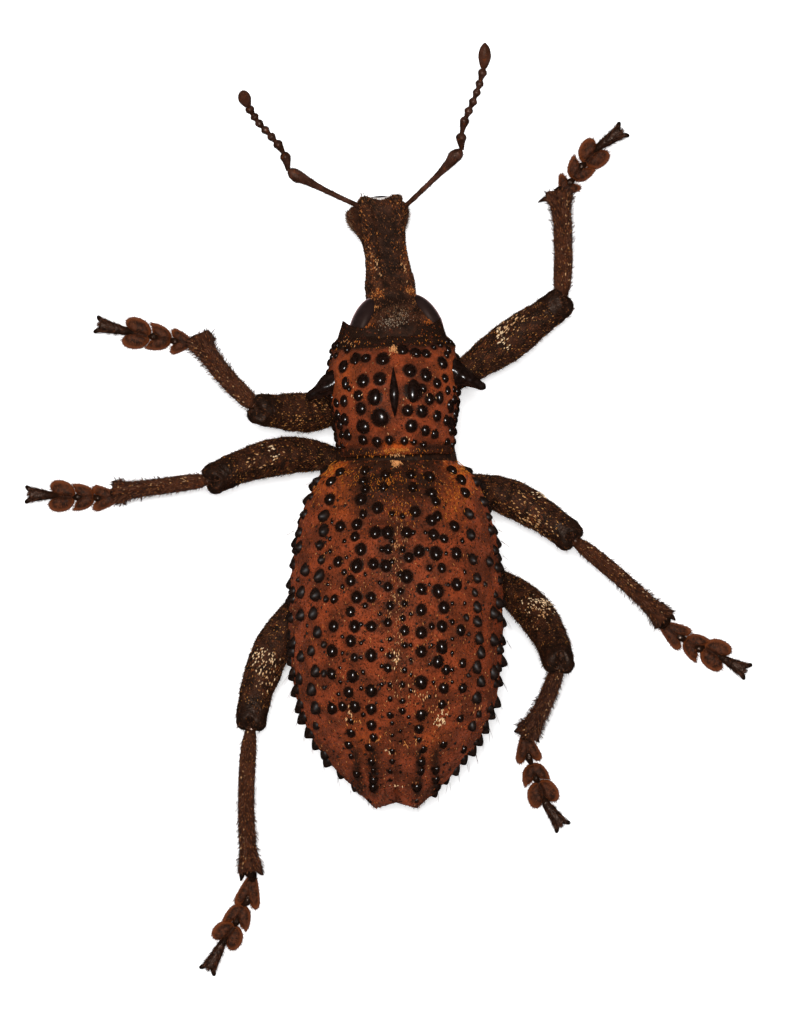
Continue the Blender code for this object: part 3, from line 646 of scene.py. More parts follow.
def dome(name: str, profile: Sequence[tuple[float, float]], sides: int, lean: float) -> Sprig:
    """A raised boss.

    Args:
        name: the sprig's name.
        profile: its radius and height from its sunk foot to near its top.
        sides: how many sides it has.
        lean: how far its top lies back.

    Returns:
        The closed shape, as wide as 2 and as high as 1.
    """
    rings = []
    for radius, height in profile:
        back = lean * max(height, 0) ** 1.5
        for k in range(sides):
            angle = math.tau * k / sides
            rings.append([radius * math.sin(angle), radius * math.cos(angle) + back, height])
    rings.append([0, lean, 1])
    faces: list[tuple[int, ...]] = [tuple(range(sides))]
    for ring in range(len(profile) - 1):
        for k in range(sides):
            after = (k + 1) % sides
            low, high = ring * sides, (ring + 1) * sides
            faces.append((low + k, high + k, high + after, low + after))
    top = (len(profile) - 1) * sides
    faces += [(top + k, len(rings) - 1, top + (k + 1) % sides) for k in range(sides)]
    return Sprig(name, np.array(rings), tuple(faces))


@dataclass
class Planting:
    """What one kind of small thing looks like where it is set."""

    sprig: Object
    finish: bpy.types.Material
    size: tuple[float, float, float] = (0.05, 0.1, 0.1)
    density: float = 100.0
    variety: float = 0.2
    lift: float = 0.1
    turn: float = 0.3
    seed: int = 1

    def over(self, name: str, host: Object) -> Object:
        """Strew the things over a skin, or set them on a mesh of points.

        Args:
            name: the new piece's name.
            host: the skin, or the object whose mesh is points alone.

        Returns:
            The new piece, one plain mesh.
        """
        strewn = len(host.data.polygons) > 0
        tree = trees()[strewn]
        ground = linked(name + ".ground", host.data)
        modifier = ground.modifiers.new("planting", "NODES")
        modifier.node_group = tree
        values = {"Sprig": self.sprig, "Finish": self.finish, "Seed": self.seed,
                  "Patch": TUFT_PATCH, "Density": self.density / MM ** 2,
                  "Size": tuple(side * MM for side in self.size), "Variety": self.variety,
                  "Lift": self.lift, "Turn": self.turn}
        for item in tree.interface.items_tree:
            if item.name in values:
                modifier[item.identifier] = values[item.name]
        graph = bpy.context.evaluated_depsgraph_get()
        mesh = bpy.data.meshes.new_from_object(ground.evaluated_get(graph), depsgraph=graph)
        bpy.data.objects.remove(ground)
        mesh.name = name
        mesh.materials.clear()
        mesh.materials.append(self.finish)
        for spare in ("lie", "normal", "size", "patch", "cover", "stature"):
            if spare in mesh.attributes:
                mesh.attributes.remove(mesh.attributes[spare])
        return linked(name, mesh)

    def on(self, name: str, points: Array, normal: Array, lie: Array, size: Array, root: Array,
           **values: Array) -> Object:
        """Set one thing on each of some points.

        Args:
            name: the new piece's name.
            points: where each thing stands, in mm.
            normal: the way out of the surface there.
            lie: the way it leans or lies.
            size: its width, length and height in mm.
            root: its place on the skin's unwrap.
            values: more named numbers for its finish.

        Returns:
            The new piece, one plain mesh.
        """
        mesh = bpy.data.meshes.new("seedbed")
        mesh.from_pydata((points * MM).tolist(), [], [])
        root = np.concatenate([root, root[:, :1] * 0], axis=1)
        values.update(normal=normal, lie=lie, size=size * MM, OFBake=root)
        for key, value in values.items():
            note(mesh, key, value)
        bed = linked("seedbed", mesh)
        piece = self.over(name, bed)
        bpy.data.objects.remove(bed)
        return piece


def trees(made: dict[bool, bpy.types.NodeTree] = {}) -> dict[bool, bpy.types.NodeTree]:
    """Both planting trees, made once."""
    if not made:
        made.update({strewn: planting_tree(strewn) for strewn in (True, False)})
    return made


def install(piece: Object, slot: Slot, finish: bpy.types.Material | None = None,
            stands_for: Sequence[str] = ()) -> Object:
    """Make a piece part of the animal.

    Args:
        piece: the finished piece.
        slot: its material slot; not used.
        finish: its material, unless it already has one.
        stands_for: the solids that it is shown instead of.

    Returns:
        The piece.
    """
    if finish is not None:
        piece.data.materials.clear()
        piece.data.materials.append(finish)
    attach(piece, "root")
    if stands_for:
        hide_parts(*stands_for)
    count = sum(len(face.vertices) - 2 for face in piece.data.polygons)
    LOG.info("%s: %d triangles", piece.name, count)
    return piece


# Finishes


Colour = tuple[float, float, float]


class Paint(Nodes):
    """A material's nodes, with short hands for patterns on Object coordinates."""

    def __init__(self, name: str) -> None:
        """A new material that ends in one Principled shader."""
        self.material = bpy.data.materials.new(name)
        self.material.use_nodes = True
        super().__init__(self.material.node_tree)
        self.shader = self.tree.nodes["Principled BSDF"]
        self.where = self.add("ShaderNodeTexCoord").outputs["Object"]

    def noise(self, size: float, detail: float = 3.0, stretch: Sequence[float] = (1, 1, 1),
              roughness: float = 0.55) -> Socket:
        """Cloudy noise with lumps of a size in mm, from 0 to 1."""
        mapped = self.add("ShaderNodeMapping", {"Vector": self.where, "Scale": tuple(stretch)})
        node = self.add("ShaderNodeTexNoise", {"Vector": mapped, "Scale": 1 / (size * MM),
                                               "Detail": detail, "Roughness": roughness})
        return node.outputs[0]

    def cells(self, size: float, feature: str = "F1", result: str = "Distance") -> Socket:
        """A pattern of cells of a size in mm."""
        node = self.add("ShaderNodeTexVoronoi", {"Vector": self.where, "Scale": 1 / (size * MM)},
                        feature=feature)
        return node.outputs[result]

    def value(self, name: str) -> Socket:
        """A named value of the mesh."""
        return self.add("ShaderNodeAttribute", attribute_name=name).outputs["Fac"]

    def ramp(self, factor: object, low: float, high: float) -> Socket:
        """A number spread from 0 at low to 1 at high."""
        node = self.add("ShaderNodeMapRange", {"Value": factor, "From Min": low,
                                               "From Max": high}, interpolation_type="SMOOTHSTEP")
        return node.outputs[0]

    def between(self, factor: object, low: object, high: object) -> Socket:
        """A number that goes from low to high while the factor goes from 0 to 1."""
        node = self.add("ShaderNodeMapRange", {"Value": factor, "To Min": low, "To Max": high})
        return node.outputs[0]

    def mix(self, factor: object, first: object, second: object) -> Socket:
        """A colour between two colours."""
        node = self.add("ShaderNodeMix", data_type="RGBA")
        self.feed(node.inputs[0], factor)
        for socket, colour in ((node.inputs[6], first), (node.inputs[7], second)):
            self.feed(socket, (*colour, 1) if isinstance(colour, tuple) else colour)
        return node.outputs[2]

    def bump(self, height: object, depth: float, strength: float = 1.0,
             under: Socket | None = None) -> Socket:
        """A bent normal from a height of 0 to 1, for a depth in mm."""
        inputs: dict[str, object] = {"Height": height, "Distance": depth * MM,
                                     "Strength": strength}
        if under is not None:
            inputs["Normal"] = under
        return self.add("ShaderNodeBump", inputs).outputs[0]

    def finish(self, **inputs: object) -> bpy.types.Material:
        """Feed the shader's inputs by name, with _ for spaces, and return the material."""
        for name, value in inputs.items():
            value = (*value, 1) if isinstance(value, tuple) else value
            self.feed(self.shader.inputs[name.replace("_", " ")], value)
        return self.material


# The tint of the shine on everything but the black bosses.
WARM: Colour = (1.0, 0.72, 0.58)


@dataclass(frozen=True)
class RustPalette:
    """The colours that the ground of the back and its scales share."""

    rust: Colour = (0.25, 0.043, 0.012)
    brown: Colour = (0.11, 0.022, 0.007)
    orange: Colour = (0.56, 0.1, 0.01)
    black: Colour = (0.008, 0.0035, 0.002)
    sooty: Colour = (0.023, 0.0085, 0.004)

    def ground(self, paint: Paint) -> Socket:
        """The colour of the back: clouds of rust, brown and orange, and soot along the suture."""
        clouds = paint.ramp(paint.noise(1.1, 4), 0.38, 0.66)
        colour = paint.mix(clouds, self.brown, self.rust)
        colour = paint.mix(paint.ramp(paint.noise(0.35, 3), 0.6, 0.74), colour, self.brown)
        streaks = paint.noise(0.35, 3, (3.0, 1.0, 1.0))
        bright = paint.maths("MULTIPLY", paint.value("orange"), paint.ramp(streaks, 0.3, 0.6))
        colour = paint.mix(bright, colour, self.orange)
        soot = paint.maths("MULTIPLY", paint.value("soot"),
                           paint.ramp(paint.noise(0.28, 3), 0.2, 0.5))
        return paint.mix(soot, colour, self.sooty)


@dataclass(frozen=True)
class ScalyGround:
    """The back's own skin: rust-coloured between the bosses and bare and black round them."""

    palette: RustPalette = field(default_factory=RustPalette)
    scale_size: float = 0.07
    depth: float = 0.025
    specks: float = 0.25

    def material(self, name: str) -> bpy.types.Material:
        """The finished material."""
        paint = Paint(name)
        speck = paint.cells(self.scale_size, result="Color")
        grain = paint.add("ShaderNodeSeparateColor", {"Color": speck}).outputs[0]
        colour = self.palette.ground(paint)
        specked = paint.ramp(grain, 1 - self.specks, 1.0)
        colour = paint.mix(specked, colour, self.palette.black)
        bare = paint.value("bare")
        colour = paint.mix(bare, colour, self.palette.black)
        height = paint.maths("SUBTRACT", 1.0, paint.cells(self.scale_size))
        normal = paint.bump(height, self.depth, 0.8)
        return paint.finish(Base_Color=colour, Roughness=paint.between(bare, 0.6, 0.55),
                            Normal=normal, Specular_IOR_Level=0.2, Specular_Tint=WARM)


@dataclass(frozen=True)
class RustScale:
    """Scales of the back, each a shade of the ground under it."""

    palette: RustPalette = field(default_factory=RustPalette)
    pale: Colour = (0.62, 0.3, 0.11)
    sooty_share: float = 0.12
    roughness: float = 0.5

    def material(self, name: str) -> bpy.types.Material:
        """The finished material."""
        paint = Paint(name)
        shade = paint.value("shade")
        colour = self.palette.ground(paint)
        colour = paint.mix(paint.ramp(shade, self.sooty_share, 0.0), colour, self.palette.sooty)
        lighter = paint.ramp(shade, 0.86, 1.0)
        colour = paint.mix(paint.maths("MULTIPLY", lighter, 0.75), colour, self.palette.orange)
        colour = paint.mix(paint.ramp(shade, 0.985, 1.0), colour, self.pale)
        return paint.finish(Base_Color=colour, Roughness=self.roughness, Specular_IOR_Level=0.25,
                            Specular_Tint=WARM, Normal=paint.bump(paint.noise(0.02), 0.004))


@dataclass(frozen=True)
class Lacquer:
    """Bare shining cuticle, as on the bosses and spines."""

    deep: Colour = (0.006, 0.0025, 0.0015)
    light: Colour = (0.015, 0.006, 0.004)
    roughness: float = 0.19
    shine: float = 0.6
    depth: float = 0.004
    grain: float = 0.12

    def material(self, name: str) -> bpy.types.Material:
        """The finished material."""
        paint = Paint(name)
        cloud = paint.noise(self.grain, 3)
        colour = paint.mix(paint.ramp(cloud, 0.35, 0.75), self.deep, self.light)
        rough = paint.between(paint.noise(0.4), self.roughness * 0.75, self.roughness * 1.4)
        return paint.finish(Base_Color=colour, Roughness=rough, Specular_IOR_Level=self.shine,
                            Normal=paint.bump(cloud, self.depth, 0.6))


@dataclass(frozen=True)
class Cuticle:
    """Dark grained cuticle, as on the legs, head and underside."""

    deep: Colour = (0.009, 0.004, 0.0022)
    brown: Colour = (0.046, 0.0145, 0.0065)
    rust: Colour = (0.14, 0.034, 0.009)
    grain: float = 0.09
    depth: float = 0.03
    roughness: float = 0.6
    polish: float = 0.27

    def material(self, name: str) -> bpy.types.Material:
        """The finished material."""
        paint = Paint(name)
        pits = paint.cells(self.grain)
        colour = paint.mix(paint.ramp(paint.noise(0.5, 4), 0.35, 0.68), self.deep, self.brown)
        rusty = paint.maths("MULTIPLY", paint.ramp(paint.noise(0.22, 3), 0.56, 0.72), 0.8)
        colour = paint.mix(rusty, colour, self.rust)
        colour = paint.mix(paint.value("rust"), colour, self.rust)
        colour = paint.mix(paint.value("bare"), colour, self.deep)
        normal = paint.bump(paint.noise(0.5, 2), 0.05, 0.5)
        normal = paint.bump(pits, self.depth, 0.7, normal)
        rough = paint.between(paint.noise(0.15), self.roughness - 0.12, self.roughness + 0.15)
        gloss = paint.value("gloss")
        return paint.finish(Base_Color=colour, Roughness=paint.between(gloss, rough, self.polish),
                            Normal=normal, Specular_IOR_Level=paint.between(gloss, 0.2, 0.55),
                            Specular_Tint=WARM)


@dataclass(frozen=True)
class Pelt:
    """Scales and bristles of the legs, head and antennae: dark, golden and cream ones."""

    dark: Colour = (0.027, 0.0095, 0.0045)
    golden: Colour = (0.25, 0.085, 0.027)
    cream: Colour = (0.8, 0.52, 0.27)
    dark_share: float = 0.5
    roughness: float = 0.5

    def material(self, name: str) -> bpy.types.Material:
        """The finished material."""
        paint = Paint(name)
        shade = paint.value("shade")
        light = paint.ramp(shade, self.dark_share, self.dark_share + 0.35)
        colour = paint.mix(light, self.dark, self.golden)
        colour = paint.mix(paint.value("cream"), colour, self.cream)
        return paint.finish(Base_Color=colour, Roughness=self.roughness, Specular_IOR_Level=0.3,
                            Specular_Tint=WARM, Normal=paint.bump(paint.noise(0.02), 0.003))


@dataclass(frozen=True)
class EyeGloss:
    """The satin grey-black of the eyes, with their fine facets and a mauve bloom."""

    dark: Colour = (0.006, 0.003, 0.0025)
    grey: Colour = (0.026, 0.013, 0.012)
    bloom: Colour = (0.8, 0.5, 0.5)
    facet: float = 0.035

    def material(self, name: str) -> bpy.types.Material:
        """The finished material."""
        paint = Paint(name)
        colour = paint.mix(paint.noise(0.6, 2), self.dark, self.grey)
        normal = paint.bump(paint.cells(self.facet), 0.004, 0.5)
        return paint.finish(Base_Color=colour, Roughness=0.5, Specular_IOR_Level=0.2,
                            Specular_Tint=WARM, Sheen_Weight=0.85, Sheen_Roughness=0.25,
                            Sheen_Tint=self.bloom, Normal=normal)


@dataclass(frozen=True)
class PadVelvet:
    """The reddish-brown of the tarsal pads, brighter along their rims."""

    dark: Colour = (0.018, 0.006, 0.003)
    red: Colour = (0.078, 0.02, 0.007)
    rim: Colour = (0.19, 0.046, 0.012)

    def material(self, name: str) -> bpy.types.Material:
        """The finished material."""
        paint = Paint(name)
        colour = paint.mix(paint.ramp(paint.noise(0.18, 4), 0.35, 0.68), self.dark, self.red)
        colour = paint.mix(paint.value("bare"), colour, self.dark)
        colour = paint.mix(paint.value("rim"), colour, self.rim)
        normal = paint.bump(paint.cells(0.05), 0.02, 0.6)
        return paint.finish(Base_Color=colour, Roughness=0.55, Normal=normal,
                            Specular_IOR_Level=0.2, Specular_Tint=WARM)


@dataclass
class Wardrobe:
    """Every finish and every small shape, made once and shared by the sub-assemblies."""

    def __post_init__(self) -> None:
        """Make the finishes and the sprigs."""
        self.wing_ground = ScalyGround().material("wing_case_ground")
        self.pronotum_ground = ScalyGround(depth=0.018, specks=0.12).material("pronotum_ground")
        self.rust_scale = RustScale().material("rust_scales")
        self.pronotum_scale = RustScale(sooty_share=0.05).material("pronotum_scales_finish")
        self.lacquer = Lacquer().material("black_bosses")
        self.dull_lacquer = Lacquer(roughness=0.42, shine=0.3, light=(0.022, 0.009, 0.005),
                                    depth=0.012).material("black_spines")
        self.horn = Lacquer(roughness=0.22, light=(0.016, 0.007, 0.005), depth=0.02,
                            grain=0.2).material("side_horns")
        self.cuticle = Cuticle().material("leg_cuticle")
        self.head_cuticle = Cuticle(rust=(0.16, 0.042, 0.012)).material("head_cuticle")
        self.belly = Cuticle(grain=0.16).material("underside_cuticle")
        self.antenna = Cuticle(brown=(0.057, 0.024, 0.017), grain=0.06, roughness=0.45,
                               depth=0.015).material("antenna_cuticle")
        self.pelt = Pelt().material("leg_scales")
        self.head_pelt = Pelt(golden=(0.22, 0.08, 0.03), dark_share=0.55).material("head_scales")
        self.head_gold = Pelt(golden=(0.62, 0.22, 0.05), dark_share=-0.2).material("head_gold")
        self.head_orange = Pelt(golden=(0.46, 0.11, 0.015), dark=(0.2, 0.05, 0.012),
                                dark_share=0.2).material("head_orange")
        self.head_grey = Pelt(golden=(0.36, 0.27, 0.2), dark=(0.1, 0.065, 0.045),
                              dark_share=0.1).material("head_grey")
        self.bristle = Pelt(dark=(0.028, 0.01, 0.006), golden=(0.15, 0.055, 0.028),
                            dark_share=0.45).material("bristles")
        self.golden_scale = Pelt(golden=(0.6, 0.18, 0.02), cream=(0.97, 0.66, 0.36),
                                 dark_share=-0.3).material("golden_scales")
        self.leg_gold = Pelt(golden=(0.7, 0.3, 0.08), dark=(0.26, 0.075, 0.014),
                             cream=(0.97, 0.7, 0.42), dark_share=0.1).material("leg_gold")
        self.pad_hair = Pelt(dark=(0.06, 0.016, 0.006), golden=(0.2, 0.055, 0.016),
                             dark_share=0.3).material("pad_hairs")
        self.eye = EyeGloss().material("eye_gloss")
        self.pad = PadVelvet().material("pad_velvet")
        # The mouth plate's pale colour is a painted highlight on smooth, shining cuticle.
        self.painted_highlight_plate = Lacquer(deep=(0.5, 0.46, 0.44), light=(0.7, 0.66, 0.62),
                                  roughness=0.3).material("mouth_plate")
        self.leaf = leaf().build()
        self.hair = hair().build()
        self.boss = dome("boss", ((0.9, -0.5), (1.0, 0.0), (0.94, 0.32), (0.8, 0.6),
                                  (0.56, 0.83), (0.27, 0.97)), 14, 0.2).build()
        self.grain = dome("grain", ((0.8, -0.5), (1.0, 0), (0.75, 0.6), (0.35, 0.94)), 8,
                          0.2).build()
        self.knob = dome("knob", ((0.9, -0.5), (1.0, 0.0), (0.9, 0.3), (0.7, 0.58),
                                  (0.45, 0.82), (0.2, 0.97)), 11, 0.35).build()
        self.thorn = dome("thorn", ((0.9, -0.5), (1.0, 0.0), (0.84, 0.3), (0.63, 0.58),
                                    (0.38, 0.83), (0.16, 0.97)), 12, 0.4).build()

    def put_away(self) -> None:
        """Remove the small shapes once everything is planted."""
        for sprig in (self.leaf, self.hair, self.boss, self.grain, self.knob, self.thorn):
            bpy.data.objects.remove(sprig)


# The sub-assemblies


def unwrapped(place: Array, angle: Array) -> Array:
    """Where places and angles of a form lie on its unwrap."""
    return stack(np.mod(angle / math.tau, 1), np.clip(place, 0, 1))


@dataclass(frozen=True)
class Bosses:
    """Where a group of bosses stands on a form, and how big each is."""

    place: Array
    angle: Array
    size: Array
    turn: Array

    def bed(self, form: Form, sink: Array | float = 0.0) -> tuple[Array, Array, Array, Array]:
        """Points, outward ways, lies and unwrap places of the bosses on their form."""
        points, normal, lie = form.stand(self.place, self.angle)
        side = np.cross(normal, lie)
        lie = lie * np.cos(self.turn)[:, None] + side * np.sin(self.turn)[:, None]
        root = unwrapped(self.place, self.angle)
        return points - normal * np.reshape(sink, (-1, 1)), normal, lie, root

    def planted(self, name: str, form: Form, planting: Planting,
                sink: Array | float = COAT_DEPTH, **values: Array) -> Object:
        """The bosses as one piece, sunk that far, with more values for its finish."""
        points, normal, lie, root = self.bed(form, sink)
        return planting.on(name, points, normal, lie, self.size, root, **values)


@dataclass(frozen=True)
class Tuft:
    """A patch of long scales: how far across and at what place its middle is, how far it spreads
    across and along in mm, how many scales it has, and how cream they are."""

    across: float
    place: float
    wide: float
    long: float
    count: int
    cream: float = 0.0


def tufted(name: str, form: Form, planting: Planting, size: tuple[float, float, float],
           tufts: Sequence[Tuft], seed: int) -> Object:
    """Patches of long scales on the back.

    Args:
        name: the piece's name.
        form: the form that they lie on.
        planting: what one scale looks like.
        size: the width, length and height of one scale in mm.
        tufts: the patches.
        seed: sets the draw apart.

    Returns:
        The scales as one piece.
    """
    draw = np.random.default_rng(seed + len(name))
    rows = []
    for tuft in tufts:
        along = tuft.place + draw.normal(0, tuft.long, tuft.count) / form.length
        along = np.clip(along, 0.0005, 0.99)
        across = tuft.across + draw.normal(0, tuft.wide, tuft.count)
        rows.append((along, form.angle_across(along, across),
                     np.array(size) * draw.uniform(0.7, 1.3, (tuft.count, 1)),
                     np.full(tuft.count, tuft.cream)))
    place, angle, sizes, cream = joined(rows)
    patches = Bosses(place, angle, sizes, draw.normal(0, 0.3, len(place)))
    return patches.planted(name, form, planting, -0.025, cream=cream)


@dataclass(frozen=True)
class Lot:
    """One lot of scales or bristles: how likely every point of a skin is to bear one, how many
    there are, their least and greatest length, and how cream they are."""

    likely: Array
    count: int
    least: float
    most: float
    cream: float = 0.0


def sown(name: str, planting: Planting, skins: Sequence[tuple[Array, Box, Sequence[Lot]]],
         upright: float, thickness: float) -> Object:
    """Scales or bristles where they stand thickest.

    Args:
        name: the piece's name.
        planting: what they look like.
        skins: for each skin its rings in mm, its part of the unwrap and the lots that it bears.
        upright: how far at most they stand out, where 1 is half way up.
        thickness: how thick each is as a share of its length.

    Returns:
        The finished piece.
    """
    draw = np.random.default_rng(len(name) * 7)
    rows = []
    for rings, (left, low, right, high), lots in skins:
        along = unit(np.gradient(rings, axis=0))
        around = np.roll(rings, -1, axis=1) - np.roll(rings, 1, axis=1)
        outward = unit(np.cross(along, around))
        centre = rings.mean(axis=1, keepdims=True)
        facing = np.sum(outward * (rings - centre), axis=-1, keepdims=True)
        outward = outward * np.where(facing < 0, -1, 1)
        for lot in lots:
            chance = (lot.likely + 0 * rings[..., 0]).ravel()
            picks = draw.choice(chance.size, lot.count, p=chance / chance.sum())
            row, column = np.divmod(picks, rings.shape[1])
            length = draw.uniform(lot.least, lot.most, lot.count)
            out = outward[row, column]
            lean = out * draw.uniform(0.1, 1, (lot.count, 1)) * upright
            way = unit(along[row, column] * 0.9 + lean)
            root = stack(left + (right - left) * column / rings.shape[1],
                         low + (high - low) * row / rings.shape[0])
            rows.append((rings[row, column] + draw.normal(0, 0.015, (lot.count, 3)) - out * 0.01,
                         unit(np.cross(way, np.cross(out, way))), way,
                         stack(length * thickness, length, length * 0.7), root,
                         np.full(lot.count, lot.cream)))
    *rows, cream = joined(rows)
    return planting.on(name, *rows, cream=cream)


def nearness(points: Array, centres: Array, radii: Array) -> Array:
    """How near points are to bosses.

    Args:
        points: points in mm, of any shape that ends in 3.
        centres: the bosses' middles.
        radii: the bosses' radii.

    Returns:
        The least distance to a boss's middle as a share of its radius.
    """
    tree = KDTree(len(centres))
    for i, centre in enumerate(centres):
        tree.insert(centre, i)
    tree.balance()
    flat = points.reshape(-1, 3)
    share = np.empty(len(flat))
    for i, point in enumerate(flat):
        share[i] = min(distance / radii[k] for _, k, distance in tree.find_n(point, 3))
    return share.reshape(points.shape[:-1])


@dataclass
class WingCases:
    """The two wing cases: their shell, bosses, margin spines, scales and hairs."""

    wardrobe: Wardrobe
    form: HindForm = HIND
    rings: int = 300
    sides: int = 260
    # How many points of a ring lie on the hidden side.
    hidden: int = 24
    # The radius of each size of boss, and how far back from the front edge and out from the
    # suture each one stands, in mm, on the left and then on the right wing case.
    bosses: tuple[tuple[float, Spots, Spots], ...] = (
        (0.295,
         ((0.6, 2.7), (0.7, 0.5), (1.1, 3.1), (1.9, 3.2), (1.9, 1.7), (2.3, 0.9), (2.7, 3.5),
          (3.1, 1.9), (3.2, 2.7), (3.4, 3.5), (3.5, 1.0), (3.5, 0.4), (4.1, 3.7), (4.2, 4.7),
          (4.3, 1.7), (4.9, 2.8), (5.0, 1.1), (5.1, 1.9), (5.1, 0.5), (5.3, 4.4), (5.6, 3.7),
          (6.4, 4.6), (6.5, 3.9), (6.6, 1.2), (6.6, 1.9), (7.4, 4.0), (7.5, 4.6), (8.0, 1.2),
          (8.0, 2.0), (8.0, 3.0), (8.3, 3.8), (8.7, 2.2), (9.2, 4.1), (9.2, 3.1), (9.4, 1.2),
          (9.5, 4.6), (10.2, 3.9), (10.3, 3.1), (10.4, 2.1), (10.6, 4.7), (11.1, 1.2),
          (11.1, 4.1), (11.2, 2.3), (11.9, 2.0), (12.0, 1.2), (12.0, 3.9), (12.0, 3.1),
          (12.8, 1.2)),
         ((0.5, 2.7), (0.7, 0.7), (0.8, 1.6), (1.0, 3.1), (1.2, 4.2), (1.6, 1.7), (1.6, 3.3),
          (2.5, 0.9), (2.6, 3.5), (2.9, 1.7), (3.2, 2.8), (3.5, 0.5), (3.6, 1.8), (3.6, 3.6),
          (4.4, 1.1), (4.5, 1.9), (4.5, 2.9), (4.7, 0.6), (4.8, 3.7), (4.9, 4.5), (5.6, 0.5),
          (6.0, 2.9), (6.2, 1.2), (6.3, 2.0), (7.1, 2.3), (7.1, 3.9), (7.2, 1.2), (7.4, 4.7),
          (7.8, 3.9), (8.0, 2.2), (8.2, 3.1), (8.3, 1.2), (8.6, 4.0), (8.7, 4.7), (9.0, 2.2),
          (9.2, 1.2), (9.3, 4.1), (9.7, 2.0), (10.0, 3.9), (10.3, 4.7), (10.7, 1.2),
          (10.7, 4.1), (11.0, 2.3), (11.5, 3.9), (12.3, 1.2), (12.9, 3.7), (15.9, 1.0),
          (16.0, 2.0))),
        (0.235,
         ((0.5, 1.5), (1.0, 1.6), (1.3, 0.6), (1.4, 1.5), (2.6, 1.6), (3.7, 2.0), (4.3, 0.4),
          (4.8, 3.6), (5.8, 2.2), (6.1, 0.4), (6.7, 3.0), (7.0, 0.3), (7.3, 2.2), (7.8, 0.4),
          (9.5, 2.0), (10.0, 0.4), (11.9, 2.6), (12.9, 3.9), (13.2, 2.2), (13.4, 1.1),
          (13.8, 2.3), (13.9, 1.3), (14.6, 1.2), (15.2, 1.9), (15.5, 1.1), (15.9, 1.1)),
         ((1.3, 0.8), (2.0, 1.9), (2.7, 2.0), (3.8, 2.3), (5.2, 2.2), (5.7, 3.9), (6.4, 3.8),
          (8.2, 0.4), (9.8, 3.2), (10.1, 2.4), (11.0, 3.2), (11.8, 2.2), (12.3, 4.0),
          (12.5, 3.1), (13.0, 1.1), (13.8, 2.3), (14.0, 1.3), (14.1, 3.3), (14.6, 1.2),
          (15.0, 1.9), (15.1, 1.2), (15.5, 1.9))),
        (0.16,
         ((2.6, 0.2), (3.9, 0.2), (4.3, 0.7), (4.9, 0.2), (5.4, 2.5), (6.7, 3.4), (7.0, 1.5),
          (8.6, 0.3), (8.9, 3.5), (9.4, 0.3), (10.3, 3.5), (10.8, 0.3), (11.5, 0.3),
          (12.3, 0.3), (12.6, 2.2), (14.1, 0.2), (14.4, 2.2), (14.6, 0.2), (15.0, 1.1),
          (15.2, 0.3), (15.7, 0.3), (16.7, 1.3)),
         ((2.7, 0.3), (3.5, 0.8), (3.9, 3.2), (4.3, 0.3), (5.2, 1.6), (5.5, 0.2), (6.0, 4.3),
          (6.3, 0.2), (6.5, 4.8), (6.9, 0.4), (7.6, 0.3), (7.6, 3.4), (7.8, 2.7), (8.0, 1.7),
          (8.9, 0.4), (10.1, 0.4), (10.8, 0.3), (11.6, 0.3), (12.1, 0.3), (13.5, 1.1),
          (16.7, 1.0))),
        (0.11,
         ((3.0, 3.1), (3.8, 3.2), (3.9, 2.5), (4.4, 3.2), (4.7, 2.4), (5.2, 3.2), (5.5, 1.5),
          (5.8, 4.8), (5.9, 0.8), (6.0, 3.3), (6.1, 2.6), (7.4, 0.8), (7.9, 1.7), (8.0, 4.3),
          (8.5, 2.6), (8.8, 1.7), (9.1, 0.7), (9.3, 2.6), (9.5, 1.7), (9.9, 0.7), (10.0, 2.7),
          (10.2, 1.6), (10.7, 2.7), (10.8, 0.7), (11.0, 3.5), (11.0, 1.7), (11.3, 2.8),
          (12.3, 1.6), (12.7, 0.2), (13.3, 0.2)),
         ((3.5, 1.4), (4.3, 1.5), (4.5, 2.4), (5.4, 3.3), (6.0, 1.6), (6.0, 2.5), (6.9, 3.3),
          (6.9, 2.7), (7.4, 0.7), (8.4, 3.5), (8.6, 2.7), (8.9, 1.7), (8.9, 0.7), (9.3, 2.7),
          (9.6, 0.7), (9.8, 1.6), (10.1, 2.7), (10.3, 0.7), (10.4, 3.5), (10.7, 1.8),
          (10.7, 2.7), (11.1, 0.7), (11.4, 1.6), (12.4, 0.6), (13.1, 0.2), (13.6, 0.2),
          (14.8, 0.2), (15.2, 0.2))),
    )
    # Where the rounded bosses of the back give way to the rough ones of the sides.
    side_begins: float = 3.35
    # The row that only shows from the side: its angle, first and last place, and count.
    side_row: tuple[float, float, float, int] = (math.radians(73), 0.06, 0.84, 17)
